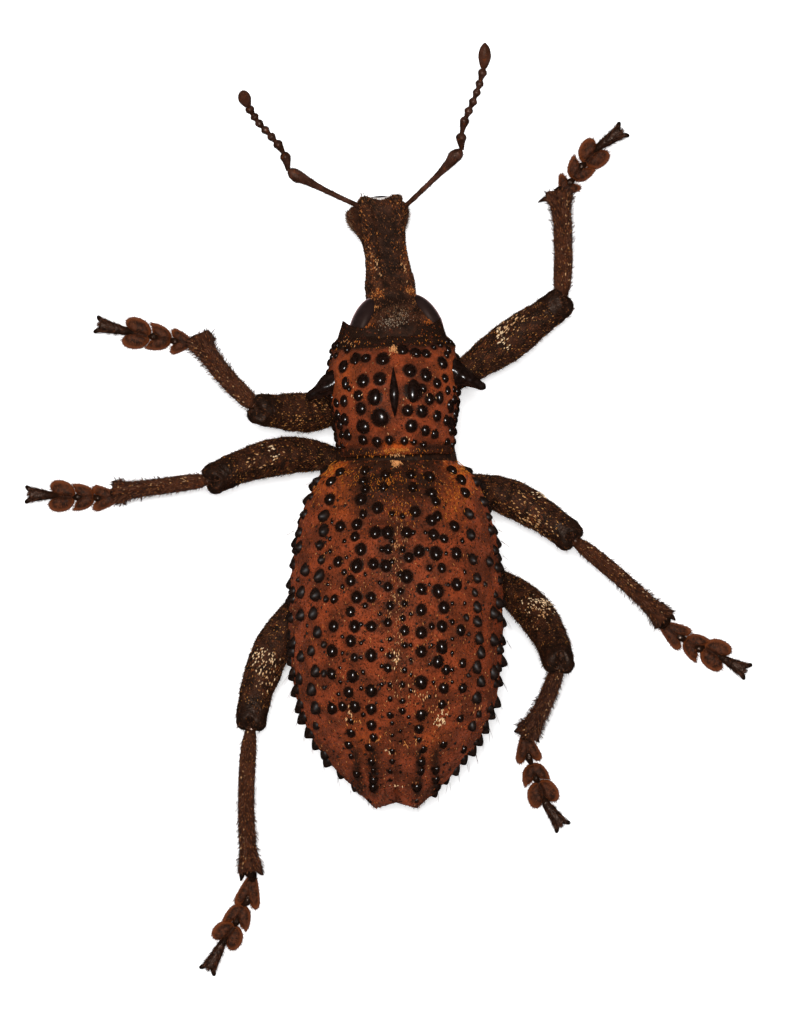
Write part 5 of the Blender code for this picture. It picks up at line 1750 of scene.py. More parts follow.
@dataclass
class Head:
    """Head and rostrum as one skin, with eyes, mouth parts, scales and bristles."""

    wardrobe: Wardrobe
    pivot: tuple[float, float, float] = (0.41, 8.47, 5.35)
    turn: tuple[float, float, float] = (-15.0, 8.0, 5.0)
    width: Curve = Curve(((-0.8, 2.05), (0.05, 2.0), (0.4, 1.84), (0.8, 1.62), (1.2, 1.38),
                          (1.7, 1.2), (2.6, 1.19), (3.4, 1.07), (4.3, 0.99), (5.4, 1.05),
                          (6.4, 1.16), (7.1, 1.1)))
    top: Curve = Curve(((-0.8, 1.8), (0, 1.8), (0.9, 1.5), (1.7, 1.15), (3.0, 0.95),
                        (5.4, 0.85), (7.1, 0.7)))
    under: Curve = Curve(((-0.8, -1.75), (0, -1.75), (0.9, -1.5), (1.7, -1.15), (3.0, -1.0),
                          (5.4, -1.15), (7.1, -1.3)))
    squareness: Curve = Curve(((-0.8, 2.4), (1.0, 2.5), (2.4, 3.4), (4.5, 3.8), (5.6, 5.0),
                               (7.1, 5.0)))
    rings: int = 230
    sides: int = 144
    channel: tuple[float, float] = (0.46, 0.12)
    knob: tuple[float, float, float] = (0.8, 1.85, 0.14)
    # How far the lobes below the antennal grooves stand out on the left and on the right, and
    # where along the rostrum they start and are widest.
    wing: tuple[float, float, float, float] = (0.49, 0.32, 4.95, 6.8)
    # The groove that takes the antenna: how high it lies at places along the rostrum.
    slit: Stations = ((4.5, -0.4), (5.4, 0.0), (6.5, 0.3))
    eye_semi_axes: tuple[float, float, float] = (0.64, 1.34, 1.14)
    eye_place: tuple[float, float, float] = (1.5, 0.76, 0.1)
    eye_slant: float = 29.0
    seed: int = 31

    def matrix(self) -> Array:
        """The turn of the head as a matrix."""
        return np.array(Euler([math.radians(a) for a in self.turn]).to_matrix())

    def placed(self, points: Array) -> Array:
        """Points of the head's own frame, set as the animal holds its head."""
        return points @ self.matrix().T + np.array(self.pivot)

    def skin_points(self) -> tuple[Array, Array, dict[str, Array]]:
        """The skin in the head's own frame.

        Returns:
            The rings, the place along the head of each point, and how much each point belongs to
            the groove and to the lobe below it.
        """
        y = np.linspace(-0.8, 7.05, self.rings)[:, None]
        angle = angles_round(self.sides)[None, :]
        power = 2 / self.squareness.at(y)
        across, upward = np.sin(angle), np.cos(angle)
        x = np.sign(across) * np.abs(across) ** power * self.width.at(y)
        height = np.where(upward > 0, self.top.at(y), -self.under.at(y))
        z = np.sign(upward) * np.abs(upward) ** power * height
        out, above = np.abs(x), z > 0
        side = np.sign(x)
        half, depth = self.channel
        hollow = step(half + 0.14, half - 0.08, out) * above * step(1.9, 2.6, y)
        z = z - depth * hollow * step(6.6, 6.0, y)
        z += 0.05 * bell(out, 0.82, 0.12) * above * step(1.9, 2.6, y)
        knob_x, knob_y, rise = self.knob
        z += rise * bell(out, knob_x, 0.2) * bell(y, knob_y, 0.22) * above
        z -= 0.1 * bell(x, 0, 0.5) * bell(y, 1.5, 0.35) * above
        line = np.interp(y[:, 0], *zip(*self.slit))[:, None]
        left, right, wing_start, wing_peak = self.wing
        low = self.under.at(y)
        wing = step(line - 0.12, line - 0.4, z) * step(low * 0.98, low * 0.6, z)
        wing = wing * step(wing_start, wing_peak, y) * step(7.05, 6.88, y)
        x += side * np.where(x < 0, left, right) * wing
        groove = bell(z, line + 0.02, 0.14) * step(4.3, 5.0, y) * step(7.0, 6.6, y) * (out > 0.5)
        x -= side * 0.42 * groove
        notch = np.clip(1 - (x / 0.62) ** 2, 0, 1) * step(6.3, 7.05, y) * (z > -0.2)
        front = y - 0.24 * notch - 0.18 * step(5.0, 7.05, y) * (self.top.at(y) - z)
        rings = stack(x, front, z)
        rough = Ripple(0.35, 0.012, 31).at(rings) + Ripple(0.9, 0.02, 32).at(rings)
        rings[..., 2] += rough * above
        rings[..., 0] += rough * ~above * side
        return rings, y + 0 * x, {"groove": groove, "wing": wing + 0 * x}

    def skin(self) -> Object:
        """The skin with what its finish and coat read."""
        rings, y, parts = self.skin_points()
        x, z = rings[..., 0], rings[..., 2]
        out = np.abs(x)
        above = z > 0
        knob_x, knob_y, _ = self.knob
        rust = most(0.7 * bell(out, knob_x, 0.24) * bell(y, knob_y, 0.24) * above,
                    0.7 * bell(out, 1.5, 0.3) * bell(y, 0.45, 0.2) * above,
                    0.45 * bell(out, 0.86, 0.1) * bell(y, 3.4, 0.9) * above, 0.3 * parts["wing"])
        # The groove's share of bare paints the antennal slit deep, as painted shade in that recess.
        bare = most(0.75 * bell(x, 0, 0.4) * step(2.2, 3, y) * step(6.4, 5.6, y) * above,
                    0.9 * bell(out, 0.2, 0.8) * bell(y, 1.6, 0.4) * above,
                    0.4 * step(0.5, -0.1, y) * above, np.clip(1.6 * parts["groove"], 0, 1))
        cover = np.clip(1 - 0.5 * bare, 0, 1) * step(-0.2, 0.05, y)
        cover *= 1 - np.clip(1.5 * parts["groove"], 0, 1)
        cream = 0.2 * bell(x, 0, 0.5) * bell(y, 0.6, 0.4) * above
        shell = Shell("head_and_rostrum")
        shell.add(self.placed(rings), rust=rust, bare=bare, cover=cover, cream=cream, stature=1)
        return shell.build()

    def eyes(self) -> None:
        """Both eyes, as deep in the head as real ones."""
        for side, name in ((-1, "eye_left"), (1, "eye_right")):
            across, along, up = np.moveaxis(ball(48, 64, 0.02) * self.eye_semi_axes, -1, 0)
            slant = math.radians(side * self.eye_slant)
            x, y, z = self.eye_place
            shell = Shell(name + "_dome")
            shell.add(self.placed(stack(
                across * math.cos(slant) - along * math.sin(slant) + side * x,
                across * math.sin(slant) + along * math.cos(slant) + y, up + z)))
            install(shell.build(), Slot.EYE, self.wardrobe.eye, (name,))

    def mouth(self) -> None:
        """The plate in the notch of the rostrum, painted pale as a highlight, the lip in front and
        the jaws.
        """
        share = np.linspace(-1, 1, 40)
        closing = np.maximum(1 - np.abs(share) ** 3, 0.02) ** 0.5
        path = stack(share * 0.5, 6.9 + 0.12 * share ** 2, 0.5)
        rings, _, _ = limb_rings(path, 0.1 * closing, 20)
        plate = Shell("mouth_plate")
        plate.add(self.placed(rings))
        # The plate's pale finish is a painted highlight.
        install(plate.build(), Slot.HEAD, self.wardrobe.painted_highlight_plate)
        jaws = Shell("jaws")
        path = stack(share * 0.55, 7.15 - 0.05 * share ** 2, 0.1)
        rings, _, _ = limb_rings(path, 0.08 * closing, 20)
        jaws.add(self.placed(rings), (0, 0, 0.3, 1))
        share = np.linspace(0, 1, 30)
        girth = Curve(((0, 0.3), (0.4, 0.32), (0.8, 0.2), (1, 0.04))).at(share)
        for side, box in ((-1, (0.34, 0, 0.64, 1)), (1, (0.68, 0, 0.98, 1))):
            path = bent(np.array([side * 0.62, 6.2, -0.75]), np.array([side * 0.62, 6.98, -0.9]),
                        np.array([side * 0.06, 7.1, -1.05]), share)
            rings, _, _ = limb_rings(path, girth, 20, 1.2)
            jaws.add(self.placed(rings), box)
        install(jaws.build(), Slot.HEAD, self.wardrobe.dull_lacquer, ("mandibles",))

    def coat(self) -> None:
        """The scales and bristles that stand in patches."""
        rings, y, parts = self.skin_points()
        x, z = rings[..., 0], rings[..., 2]
        above = (z > 0.15) * 1.0
        whole = self.placed(rings)
        dress = self.wardrobe

        def spot(middle_x: float, middle_y: float, wide: float, long: float) -> Array:
            """How near points of the upper side are to a spot."""
            return bell(x, middle_x, wide) * bell(y, middle_y, long) * above + 1e-9

        def patches(name: str, finish: bpy.types.Material, lots: Sequence[Lot], turn: float,
                    thickness: float) -> None:
            """Scales in patches, as one piece."""
            leaves = Planting(dress.leaf, finish, variety=0.25, lift=0.2, turn=turn)
            skins = [(whole, (0, 0, 1, 1), lots)]
            install(sown(name, leaves, skins, 0.3, thickness), Slot.HEAD)

        knob_x, knob_y, _ = self.knob
        tip = step(6.5, 7.0, y) * (z > -0.3) + 1e-9
        patches("head_golden_scales", dress.head_gold, (
            Lot(spot(-knob_x, knob_y, 0.2, 0.16), 36, 0.09, 0.15, 0.08),
            Lot(spot(knob_x, knob_y, 0.2, 0.16), 36, 0.09, 0.15, 0.08),
            Lot(spot(-0.98, 1.15, 0.14, 0.12), 18, 0.09, 0.15, 0.1),
            Lot(spot(0.95, 1.3, 0.14, 0.2), 10, 0.09, 0.15, 0.1),
            Lot(spot(-0.62, 3.1, 0.2, 0.55), 16, 0.12, 0.2, 0.55),
            Lot(spot(-0.8, 4.1, 0.1, 0.3), 6, 0.12, 0.2, 0.45),
            Lot(spot(0.68, 3.0, 0.12, 0.6), 12, 0.12, 0.2, 0.4),
            Lot(above * step(3.0, 4.0, y) * step(7, 6.5, y), 90, 0.09, 0.15)), 1.0, 0.34)
        patches("head_orange_scales", dress.head_orange, (
            Lot(spot(-1.72, 0.16, 0.34, 0.18), 190, 0.08, 0.14),
            Lot(spot(1.6, 0.08, 0.34, 0.18), 190, 0.08, 0.14),
            Lot(spot(-knob_x, knob_y, 0.22, 0.18), 60, 0.09, 0.15),
            Lot(spot(knob_x, knob_y, 0.22, 0.18), 60, 0.09, 0.15),
            Lot(spot(0.86, 3.6, 0.08, 1.0), 60, 0.08, 0.14),
            Lot(spot(-0.86, 3.6, 0.08, 1.2), 40, 0.08, 0.14),
            Lot(above * step(1.5, 2.5, y) + 1e-9, 260, 0.06, 0.11)), 0.6, 0.4)
        patches("head_grey_scales", dress.head_grey, (
            Lot(spot(-0.3, 0.12, 0.5, 0.24), 210, 0.05, 0.09, 0.1),
            Lot(spot(0.15, 0.45, 0.3, 0.2), 50, 0.05, 0.09, 0.1)), 0.8, 0.5)
        bristles = Planting(dress.hair, dress.bristle, variety=0.2, lift=0.0, turn=0.5)
        lots = (Lot(parts["wing"] + 1e-9, 800, 0.12, 0.26, 0.12), Lot(tip, 240, 0.07, 0.14, 0.1),
                Lot(step(1.5, 2.2, y) * (z > -0.6) + 1e-9, 420, 0.06, 0.12),
                Lot(bell(x, -0.85, 0.1) * tip + 1e-12, 5, 0.3, 0.42),
                Lot(bell(x, 0.5, 0.12) * tip + 1e-12, 3, 0.3, 0.42))
        install(sown("rostrum_bristles", bristles, [(whole, (0, 0, 1, 1), lots)], 1.3, 0.14),
                Slot.HEAD)

    def build(self) -> None:
        """Build every piece of the head."""
        skin = install(self.skin(), Slot.HEAD, self.wardrobe.head_cuticle, ("head", "rostrum"))
        self.eyes()
        self.mouth()
        scales = Planting(self.wardrobe.leaf, self.wardrobe.head_pelt, (0.04, 0.09, 0.1), 120, 0.35,
                          0.2, 0.6, 5)
        install(scales.over("head_scales", skin), Slot.HEAD)
        self.coat()


def gone_along(path: Array) -> Array:
    """How far along a path each of its points lies."""
    return np.concatenate([[0], np.cumsum(np.linalg.norm(np.diff(path, axis=0), axis=1))])


def routed(stops: Sequence[Array], girths: Sequence[float], count: int) -> tuple[Array, Array]:
    """Evenly spaced points along a smooth way through stops, and the radius at each."""
    stops = np.array(stops)
    gone = gone_along(stops)
    even = np.linspace(0, gone[-1], count)
    path = np.stack([Curve(tuple(zip(gone.tolist(), stops[:, k].tolist()))).at(even)
                     for k in range(3)], axis=-1)
    return path, Curve(tuple(zip(gone.tolist(), girths))).at(even)


@dataclass
class Antenna:
    """One antenna: its scape, its seven beads and its club."""

    wardrobe: Wardrobe
    side: str
    # Where the scape starts inside the rostrum, and where it ends.
    root: Place
    elbow: Place
    # The middle of each bead, then the points along the club.
    beads: tuple[Place, ...]
    club: tuple[Place, ...]
    bulge: float = 1.0
    scape_girth: Curve = Curve(((0, 0.12), (0.3, 0.13), (0.55, 0.15), (0.72, 0.21), (0.87, 0.28),
                                (0.95, 0.25), (0.985, 0.15), (1, 0.05)))
    bead_radii: tuple[float, ...] = (0.26, 0.235, 0.215, 0.21, 0.205, 0.21, 0.225)
    stalk: float = 0.11
    club_girth: Curve = Curve(((0, 0.1), (0.14, 0.2), (0.4, 0.3), (0.55, 0.31), (0.8, 0.23),
                               (0.94, 0.1), (1, 0.01)))

    def bead_chain(self) -> tuple[Array, Array]:
        """The path through the beads, and its radius: each bead a pear on a thin stalk."""
        stops = np.array([self.elbow, *self.beads, self.club[0]])
        gone = gone_along(stops)
        path, _ = routed(stops, [1.0] * len(stops), 330)
        even = np.linspace(0, gone[-1], len(path))
        girth = np.full(len(path), self.stalk)
        before = 0.0
        for middle, radius in zip(gone[1:-1], self.bead_radii):
            neck = np.clip((even - before) / (middle - before), 0, 1) ** 1.5
            ball = np.sqrt(np.clip(1 - ((even - middle) / (radius * 1.05)) ** 2, 0, 1))
            pear = np.where(even < middle, 0.45 + 0.55 * neck, ball) * (even > before)
            girth = np.maximum(girth, radius * pear)
            before = middle + radius * 0.8
        return path, girth

    def build(self) -> None:
        """Build the antenna and its short hairs."""
        shell = Shell("antenna_" + self.side)
        share = np.linspace(0, 1, 90)
        root, elbow = np.array(self.root), np.array(self.elbow)
        middle = (root + elbow) / 2 + np.array([0, -0.15, 0.1])
        scape, spread, turn = limb_rings(bent(root, middle, elbow, share),
                                         self.scape_girth.at(share), 24)
        swell = bell(share, 0.88, 0.07)[:, None] * np.clip(np.sin(turn) * self.bulge, 0, 1)
        rough = Ripple(0.3, 0.008, 41).at(scape)
        scape += spread * (rough + 0.07 * swell)[..., None]
        shell.add(scape, (0, 0, 0.3, 1), bare=0, rust=0.12, cover=1, stature=1, cream=0, gloss=0.25)
        path, girth = self.bead_chain()
        rings, spread, _ = limb_rings(path, girth, 22)
        rings += spread * Ripple(0.25, 0.006, 42).at(rings)[..., None]
        shell.add(rings, (0.33, 0, 0.63, 1), bare=0.2, rust=0.1, cover=1, stature=0.8, cream=0,
                  gloss=0.6)
        path, _ = routed(self.club, [1.0] * len(self.club), 60)
        rings, _, _ = limb_rings(path, self.club_girth.at(np.linspace(0, 1, 60)), 26)
        shell.add(rings, (0.66, 0, 0.96, 1), bare=0.15, rust=0.25, cover=1.5, stature=0.5, cream=0,
                  gloss=0)
        nodes = [part + self.side for part in ("scape_", "funicle_", "club_")]
        skin = install(shell.build(), Slot.ANTENNA, self.wardrobe.antenna, nodes)
        hairs = Planting(self.wardrobe.hair, self.wardrobe.bristle, (0.016, 0.12, 0.1), 80, 0.3,
                         0.5, 0.4, 6)
        install(hairs.over("antenna_hairs_" + self.side, skin), Slot.ANTENNA)


@dataclass(frozen=True)
class Patch:
    """A patch of long scales on a femur: the place along it, the side (0 on top, half way round
    at 1, to the right seen towards the knee), how far it spreads along it, how many scales it
    has and how cream they are."""

    place: float
    side: float
    spread: float
    count: int
    cream: float


@dataclass(frozen=True)
class Stance:
    """Where one leg bends and where it stands, in mm."""

    name: str
    coxa: Place
    bend: Place
    knee: Place
    ankle: Place
    # The base and the joint of each of the three pads, and then where the claws grow.
    foot: Spots
    # Where the spurs at the tibia's end point to.
    spurs: Spots
    bow: float
    stout: float
    patches: tuple[Patch, ...] = ()


STANCES = (
    Stance("front_left", (-0.6, 5.2, 2.7), (-3.4, 4.5, 2.9), (-6.3, 4.88, 5.6),
           (-9.36, 8.37, 0.95),
           ((-9.85, 8.32), (-10.65, 8.38), (-10.86, 8.43), (-11.73, 8.62), (-11.9, 8.63),
            (-13.14, 8.9), (-14.3, 9.17)), ((-8.56, 8.5),), -0.2, 1.0,
           (Patch(0.62, 0.1, 0.12, 16, 0.1), Patch(0.75, -0.2, 0.08, 14, 0.1))),
    Stance("front_right", (1.4, 5.2, 2.7), (5.04, 7.5, 2.9), (8.5, 10.15, 4.6),
           (8.55, 15.65, 0.95),
           ((8.73, 15.81), (9.08, 16.32), (9.26, 16.49), (9.7, 17.14), (9.84, 17.25),
            (10.6, 18.14), (11.55, 18.82)), ((7.47, 15.29),), 0.15, 1.0,
           (Patch(0.63, -0.12, 0.022, 34, 1.0), Patch(0.66, -0.22, 0.05, 26, 0.5),
            Patch(0.76, -0.25, 0.07, 24, 0.3))),
    Stance("middle_left", (-1.0, 1.45, 2.35), (-3.8, 3.9, 2.4), (-8.56, 1.46, 5.2),
           (-13.45, 0.85, 0.95),
           ((-13.47, 0.58), (-14.51, 0.54), (-14.7, 0.61), (-15.51, 0.59), (-15.68, 0.58),
            (-16.87, 0.69), (-17.8, 0.72)), ((-13.07, 0.2),), 0.0, 0.84,
           (Patch(0.7, 0.12, 0.025, 26, 1.0), Patch(0.75, 0.0, 0.1, 12, 0.3))),
    Stance("middle_right", (1.8, 1.0, 2.35), (5.4, 1.75, 2.3), (8.98, -1.38, 4.0),
           (13.7, -5.42, 0.95),
           ((13.68, -5.76), (14.63, -6.43), (14.87, -6.51), (15.55, -6.99), (15.75, -6.91),
            (16.87, -7.55), (17.72, -8.0)), ((13.3, -5.98), (14.35, -5.56)), -0.1, 0.84,
           (Patch(0.73, -0.38, 0.025, 22, 1.0), Patch(0.8, 0.2, 0.08, 40, 0.3),
            Patch(0.7, -0.1, 0.12, 24, 0.15))),
    Stance("hind_left", (-1.65, -2.5, 2.35), (-6.2, -5.51, 1.9), (-6.73, -10.5, 4.0),
           (-6.87, -17.95, 0.95),
           ((-6.77, -18.35), (-7.04, -19.6), (-7.23, -19.81), (-7.58, -20.63), (-7.64, -20.79),
            (-8.28, -21.71), (-8.9, -22.85)), ((-7.36, -18.58), (-6.2, -18.25)), 0.22, 0.86,
           (Patch(0.68, 0.2, 0.035, 30, 0.9), Patch(0.7, -0.05, 0.05, 34, 0.8),
            Patch(0.78, -0.1, 0.06, 22, 0.5))),
    Stance("hind_right", (2.45, -2.5, 2.35), (7.6, -3.75, 2.2), (8.29, -7.5, 7.8),
           (7.02, -11.06, 0.95),
           ((6.85, -11.27), (7.03, -12.38), (7.17, -12.75), (7.4, -13.48), (7.51, -13.62),
            (7.91, -14.73), (8.58, -15.68)), ((6.28, -11.1), (7.55, -11.65)), -0.15, 0.86,
           (Patch(0.66, -0.1, 0.045, 40, 0.85), Patch(0.67, -0.3, 0.03, 36, 0.9),
            Patch(0.73, 0.0, 0.06, 26, 0.3))),
)


@dataclass
class Leg:
    """One leg: coxa, femur, tibia with its spurs, three pads, claw joint and claws."""

    wardrobe: Wardrobe
    stance: Stance
    coxa_radius: float = 0.75
    knee_radius: float = 0.78
    femur_drop: float = 0.35
    femur_girth: Curve = Curve(((0, 0.4), (0.15, 0.52), (0.33, 0.7), (0.5, 0.92), (0.62, 1.0),
                                (0.74, 0.96), (0.87, 0.84), (0.95, 0.83), (1, 0.8)))
    femur_box: Box = (0, 0, 0.48, 1)
    tibia_girth: Curve = Curve(((0, 0.25), (0.05, 0.28), (0.13, 0.36), (0.3, 0.39), (0.8, 0.4),
                                (0.9, 0.46), (0.97, 0.57), (1, 0.6)))
    tibia_box: Box = (0.5, 0, 0.86, 1)
    spur_girth: Curve = Curve(((-0.35, 0.2), (0, 0.21), (0.5, 0.13), (0.85, 0.06), (1, 0.015)))
    # How far the femur goes on beyond the knee, and how deep its cleft is.
    knee_end: tuple[float, float] = (0.46, 0.32)
    tooth: float = 0.13
    # Half of each pad's outline from its base round to its notch, in shares of its half width
    # and of the way from its base to its joint.
    pad_outlines: tuple[Spots, ...] = (
        ((0, 0), (0.3, 0.0), (0.62, 0.35), (0.95, 0.85), (1.0, 1.1), (0.8, 1.26), (0.45, 1.2),
         (0.15, 1.01), (0, 0.97)),
        ((0, 0), (0.34, 0.02), (0.76, 0.3), (0.99, 0.82), (0.98, 1.3), (0.7, 1.22), (0.36, 1.12),
         (0.12, 0.88), (0, 0.85)),
        ((0, 0), (0.36, 0.0), (0.8, 0.2), (1.0, 0.55), (0.94, 0.9), (0.62, 1.06), (0.28, 0.96),
         (0.1, 0.78), (0, 0.72)),
    )
    pad_widths: tuple[float, ...] = (0.64, 0.67, 0.79)
    pad_height: float = 0.42
    # How many rings a pad has from the middle of its top to its rim.
    pad_rows: int = 14
    # How deep the furrow along each pad's middle is, as a share of its height.
    furrows: tuple[float, ...] = (0.12, 0.15, 0.35)
    # How high the joint runs over each pad's base, middle and end, and how thick it is there.
    pad_joints: tuple[tuple[Place, Place], ...] = (
        ((0.5, 0.16, 0.34), (0.2, 0.11, 0.17)), ((0.2, 0.14, 0.34), (0.12, 0.11, 0.17)),
        ((0.2, 0.16, 0.36), (0.12, 0.11, 0.19)))
    claw_radius: float = 0.12
    # How many hairs stand at each point of a pad's edge.
    fringe_hairs: int = 4
    claw_taper: Curve = Curve(((0, 1.15), (0.35, 1.0), (0.75, 0.6), (1, 0.12)))

    def __post_init__(self) -> None:
        """Work out the leg's main points."""
        self.coxa = np.array(self.stance.coxa)
        self.knee = np.array(self.stance.knee)
        self.ankle = np.array(self.stance.ankle)
        self.shin = unit(self.ankle - self.knee)
        self.foot = [np.array([*spot, 0.0]) for spot in self.stance.foot]

    def femur(self, shell: Shell) -> tuple[Array, Box, list[Lot]]:
        """Add the femur, its end cleft to let the tibia in.

        Args:
            shell: the leg's mesh.

        Returns:
            The femur's rings, its part of the unwrap and the golden scales that it bears.
        """
        # Closer rings towards the knee, where the cleft is.
        share = np.concatenate([np.linspace(0, 0.9, 60), np.linspace(0.91, 1, 16)])
        root = self.coxa - np.array([0, 0, self.femur_drop])
        path = bent(root, np.array(self.stance.bend), self.knee, share)
        girth = self.femur_girth.at(share)
        girth = self.knee_radius + (girth - self.knee_radius) * self.stance.stout
        ahead = unit(path[-1] - path[-2])
        reach, depth = self.knee_end
        beyond, closing = rounded_end(girth[-1], reach)
        path = np.concatenate([path, self.knee + ahead * beyond[:, None]])
        rings, spread, angle = limb_rings(path, np.concatenate([girth, closing]), 56)
        length = np.linalg.norm(np.diff(path[:len(share)], axis=0), axis=1).sum()
        gone = np.concatenate([(share - 1) * length, beyond])[:, None]
        hinge = unit(np.cross(ahead, self.shin))
        aside = np.sum((rings - path[:, None]) * hinge, axis=-1)
        facing = spread @ unit(self.shin - ahead * (self.shin @ ahead))
        hollow = 0.34 * step(-0.9, -0.1, gone) * step(0.3, 0.9, facing) * bell(aside, 0, 0.42)
        bumps = Ripple(0.28, 0.014, 51).at(rings) + Ripple(0.8, 0.02, 52).at(rings)
        rings = rings + spread * (bumps - hollow - COAT_DEPTH)[..., None]
        cleft = bell(aside, 0, 0.26) * step(-0.05, 0.3, gone)
        rings = rings - ahead * (depth * cleft)[..., None]
        place = np.concatenate([share, 1 + beyond / 8])[:, None]
        knee = step(0.86, 0.95, place)
        shell.add(rings, self.femur_box, bare=0.7 * knee, rust=0, cream=0, cover=1 - 0.5 * knee,
                  stature=0.75, gloss=0.4 * knee)
        upper = step(-0.3, 0.4, np.cos(angle))[None, :] * step(0.96, 0.9, place)
        lots = [Lot(upper * step(0.2, 0.35, place), 420, 0.07, 0.13, 0.0)]
        for patch in self.stance.patches:
            turned = (angle - patch.side * math.pi + math.pi) % math.tau - math.pi
            near = bell(place, patch.place, patch.spread) * bell(turned, 0, 0.42)[None, :]
            lots.append(Lot(near + 1e-12, patch.count, 0.15, 0.25, patch.cream))
        return rings, self.femur_box, lots

    def tibia(self, shell: Shell) -> tuple[Array, Box, list[Lot]]:
        """Add the tibia, from its neck in the knee to its flared end.

        Args:
            shell: the leg's mesh.

        Returns:
            The tibia's rings, its part of the unwrap and the golden scales that it bears.
        """
        start = self.knee + self.shin * 0.22
        side = unit(np.cross(self.shin, (0, 0, 1)))
        middle = (start + self.ankle) / 2 + side * 2 * self.stance.bow
        share = np.concatenate([np.linspace(0, 0.85, 60), np.linspace(0.86, 1, 22)])
        path = bent(start, middle, self.ankle, share)
        way = unit(path[-1] - path[-2])
        path = np.concatenate([path, path[-1] + way * np.array([[0.02], [-0.1], [-0.2]])])
        girth = self.tibia_girth.at(share) * (0.2 + 0.8 * self.stance.stout)
        girth = np.concatenate([girth, [0.5, 0.4, 0.25]])
        ahead = unit(np.gradient(path, axis=0))
        ahead[-3:] = way
        across = unit(np.cross(ahead, (0, 0, 1)))
        angle = angles_round(40)
        spread = (across[:, None] * np.sin(angle)[None, :, None] * 1.15
                  + np.cross(across, ahead)[:, None] * np.cos(angle)[None, :, None])
        rings = path[:, None] + spread * girth[:, None, None]
        late = np.concatenate([step(0.9, 1, share), [1, 1, 1]])[:, None]
        rings -= way * (self.tooth * np.cos(angle * 2)[None, :] * late)[..., None]
        rings += unit(spread) * Ripple(0.24, 0.016, 53).at(rings)[..., None]
        place = np.concatenate([share, [1, 1, 1]])[:, None]
        neck = step(0.07, 0.02, place)
        shell.add(rings, self.tibia_box, bare=0.5 * neck, rust=0.25, cream=0,
                  cover=(1.0 - step(0.995, 1, place)) * (1 - neck),
                  stature=0.8 + 0.35 * step(0.3, 0.8, place), gloss=neck)
        for tip, box in zip(self.stance.spurs, ((0.88, 0, 0.93, 0.3), (0.95, 0, 1, 0.3))):
            end = np.array([*tip, 0.62])
            lean = end - self.ankle
            root = self.ankle + unit(lean - self.shin * (lean @ self.shin)) * 0.36 - way * 0.12
            share = np.linspace(-0.35, 1, 16)
            path = root + (end - root) * share[:, None]
            path += (way * 0.1)[None, :] * (share * (1 - share) * 4)[:, None]
            spur, _, _ = limb_rings(path, self.spur_girth.at(share), 14)
            shell.add(spur, box, bare=0.6, rust=0, cream=0, cover=step(0.5, 0.2, share)[:, None],
                      stature=0.6, gloss=0.5)
        upper = step(-0.2, 0.5, np.cos(angle))[None, :] * step(0.97, 0.9, place)
        streak = bell(np.sin(angle), 0.45 * np.sign(self.stance.bow or 1), 0.35)[None, :]
        return rings, self.tibia_box, [Lot(upper * step(0.03, 0.1, place), 55, 0.07, 0.12, 0.0),
                                       Lot(upper * streak, 32, 0.1, 0.17, 0.35)]

    def coxa_ball(self, shell: Shell) -> None:
        """The coxa, a rounded knob in its socket."""
        rings = self.coxa + ball(26, 32, 0.05) * (self.coxa_radius + 0.08)
        shell.add(rings, (0.88, 0.35, 1, 1), bare=0.5, rust=0, cream=0, cover=0.3, stature=1,
                  gloss=0)

    def pad_rings(self, number: int) -> tuple[Array, Array, Array]:
        """One heart-shaped pad.

        Args:
            number: 0 for the pad next to the tibia, up to 2.

        Returns:
            Its rings from the middle of its top round to the middle of its sole, and how near
            each point is to its rim and to the furrow along its middle.
        """
        base, joint = self.foot[2 * number:2 * number + 2]
        along = unit(joint - base)
        across = np.array([along[1], -along[0], 0])
        length = np.linalg.norm(joint - base)
        stops = self.pad_outlines[number]
        where = np.linspace(0, 1, len(stops)).tolist()
        x, y = (Curve(tuple(zip(where, values))).at(np.linspace(0, 1, 33))
                for values in zip(*stops))
        edge_x = np.concatenate([x, -x[-2:0:-1]]) * self.pad_widths[number]
        edge_y = np.concatenate([y, y[-2:0:-1]]) * length
        fraction = np.linspace(0.03, 1, self.pad_rows)[:, None]
        flat_x = edge_x * fraction
        flat_y = 0.48 * length * (1 - fraction) + edge_y * fraction
        crown = (1 - fraction ** 3) ** 0.5
        middle = bell(flat_x / self.pad_widths[number], 0, 0.15)
        trough = 1 - self.furrows[number] * middle
        top = 0.1 + self.pad_height * crown * trough + 0.03 * step(0.8, 1, fraction)
        upper = stack(flat_x, flat_y, top)
        lower = stack(flat_x, flat_y, 0.06 * step(0.75, 1, fraction))[::-1]
        lower[0, :, 2] += 0.02
        local = np.concatenate([upper, lower])
        near = step(0.7, 1.0, fraction)
        rings = base + local[..., :1] * across + local[..., 1:2] * along + local[..., 2:] * UP
        bumps = Ripple(0.2, 0.012, 62).at(rings[:self.pad_rows])
        rings[:self.pad_rows] += UP * bumps[..., None]
        return (rings, np.concatenate([near, near[::-1]]),
                np.concatenate([middle, middle[::-1]]))

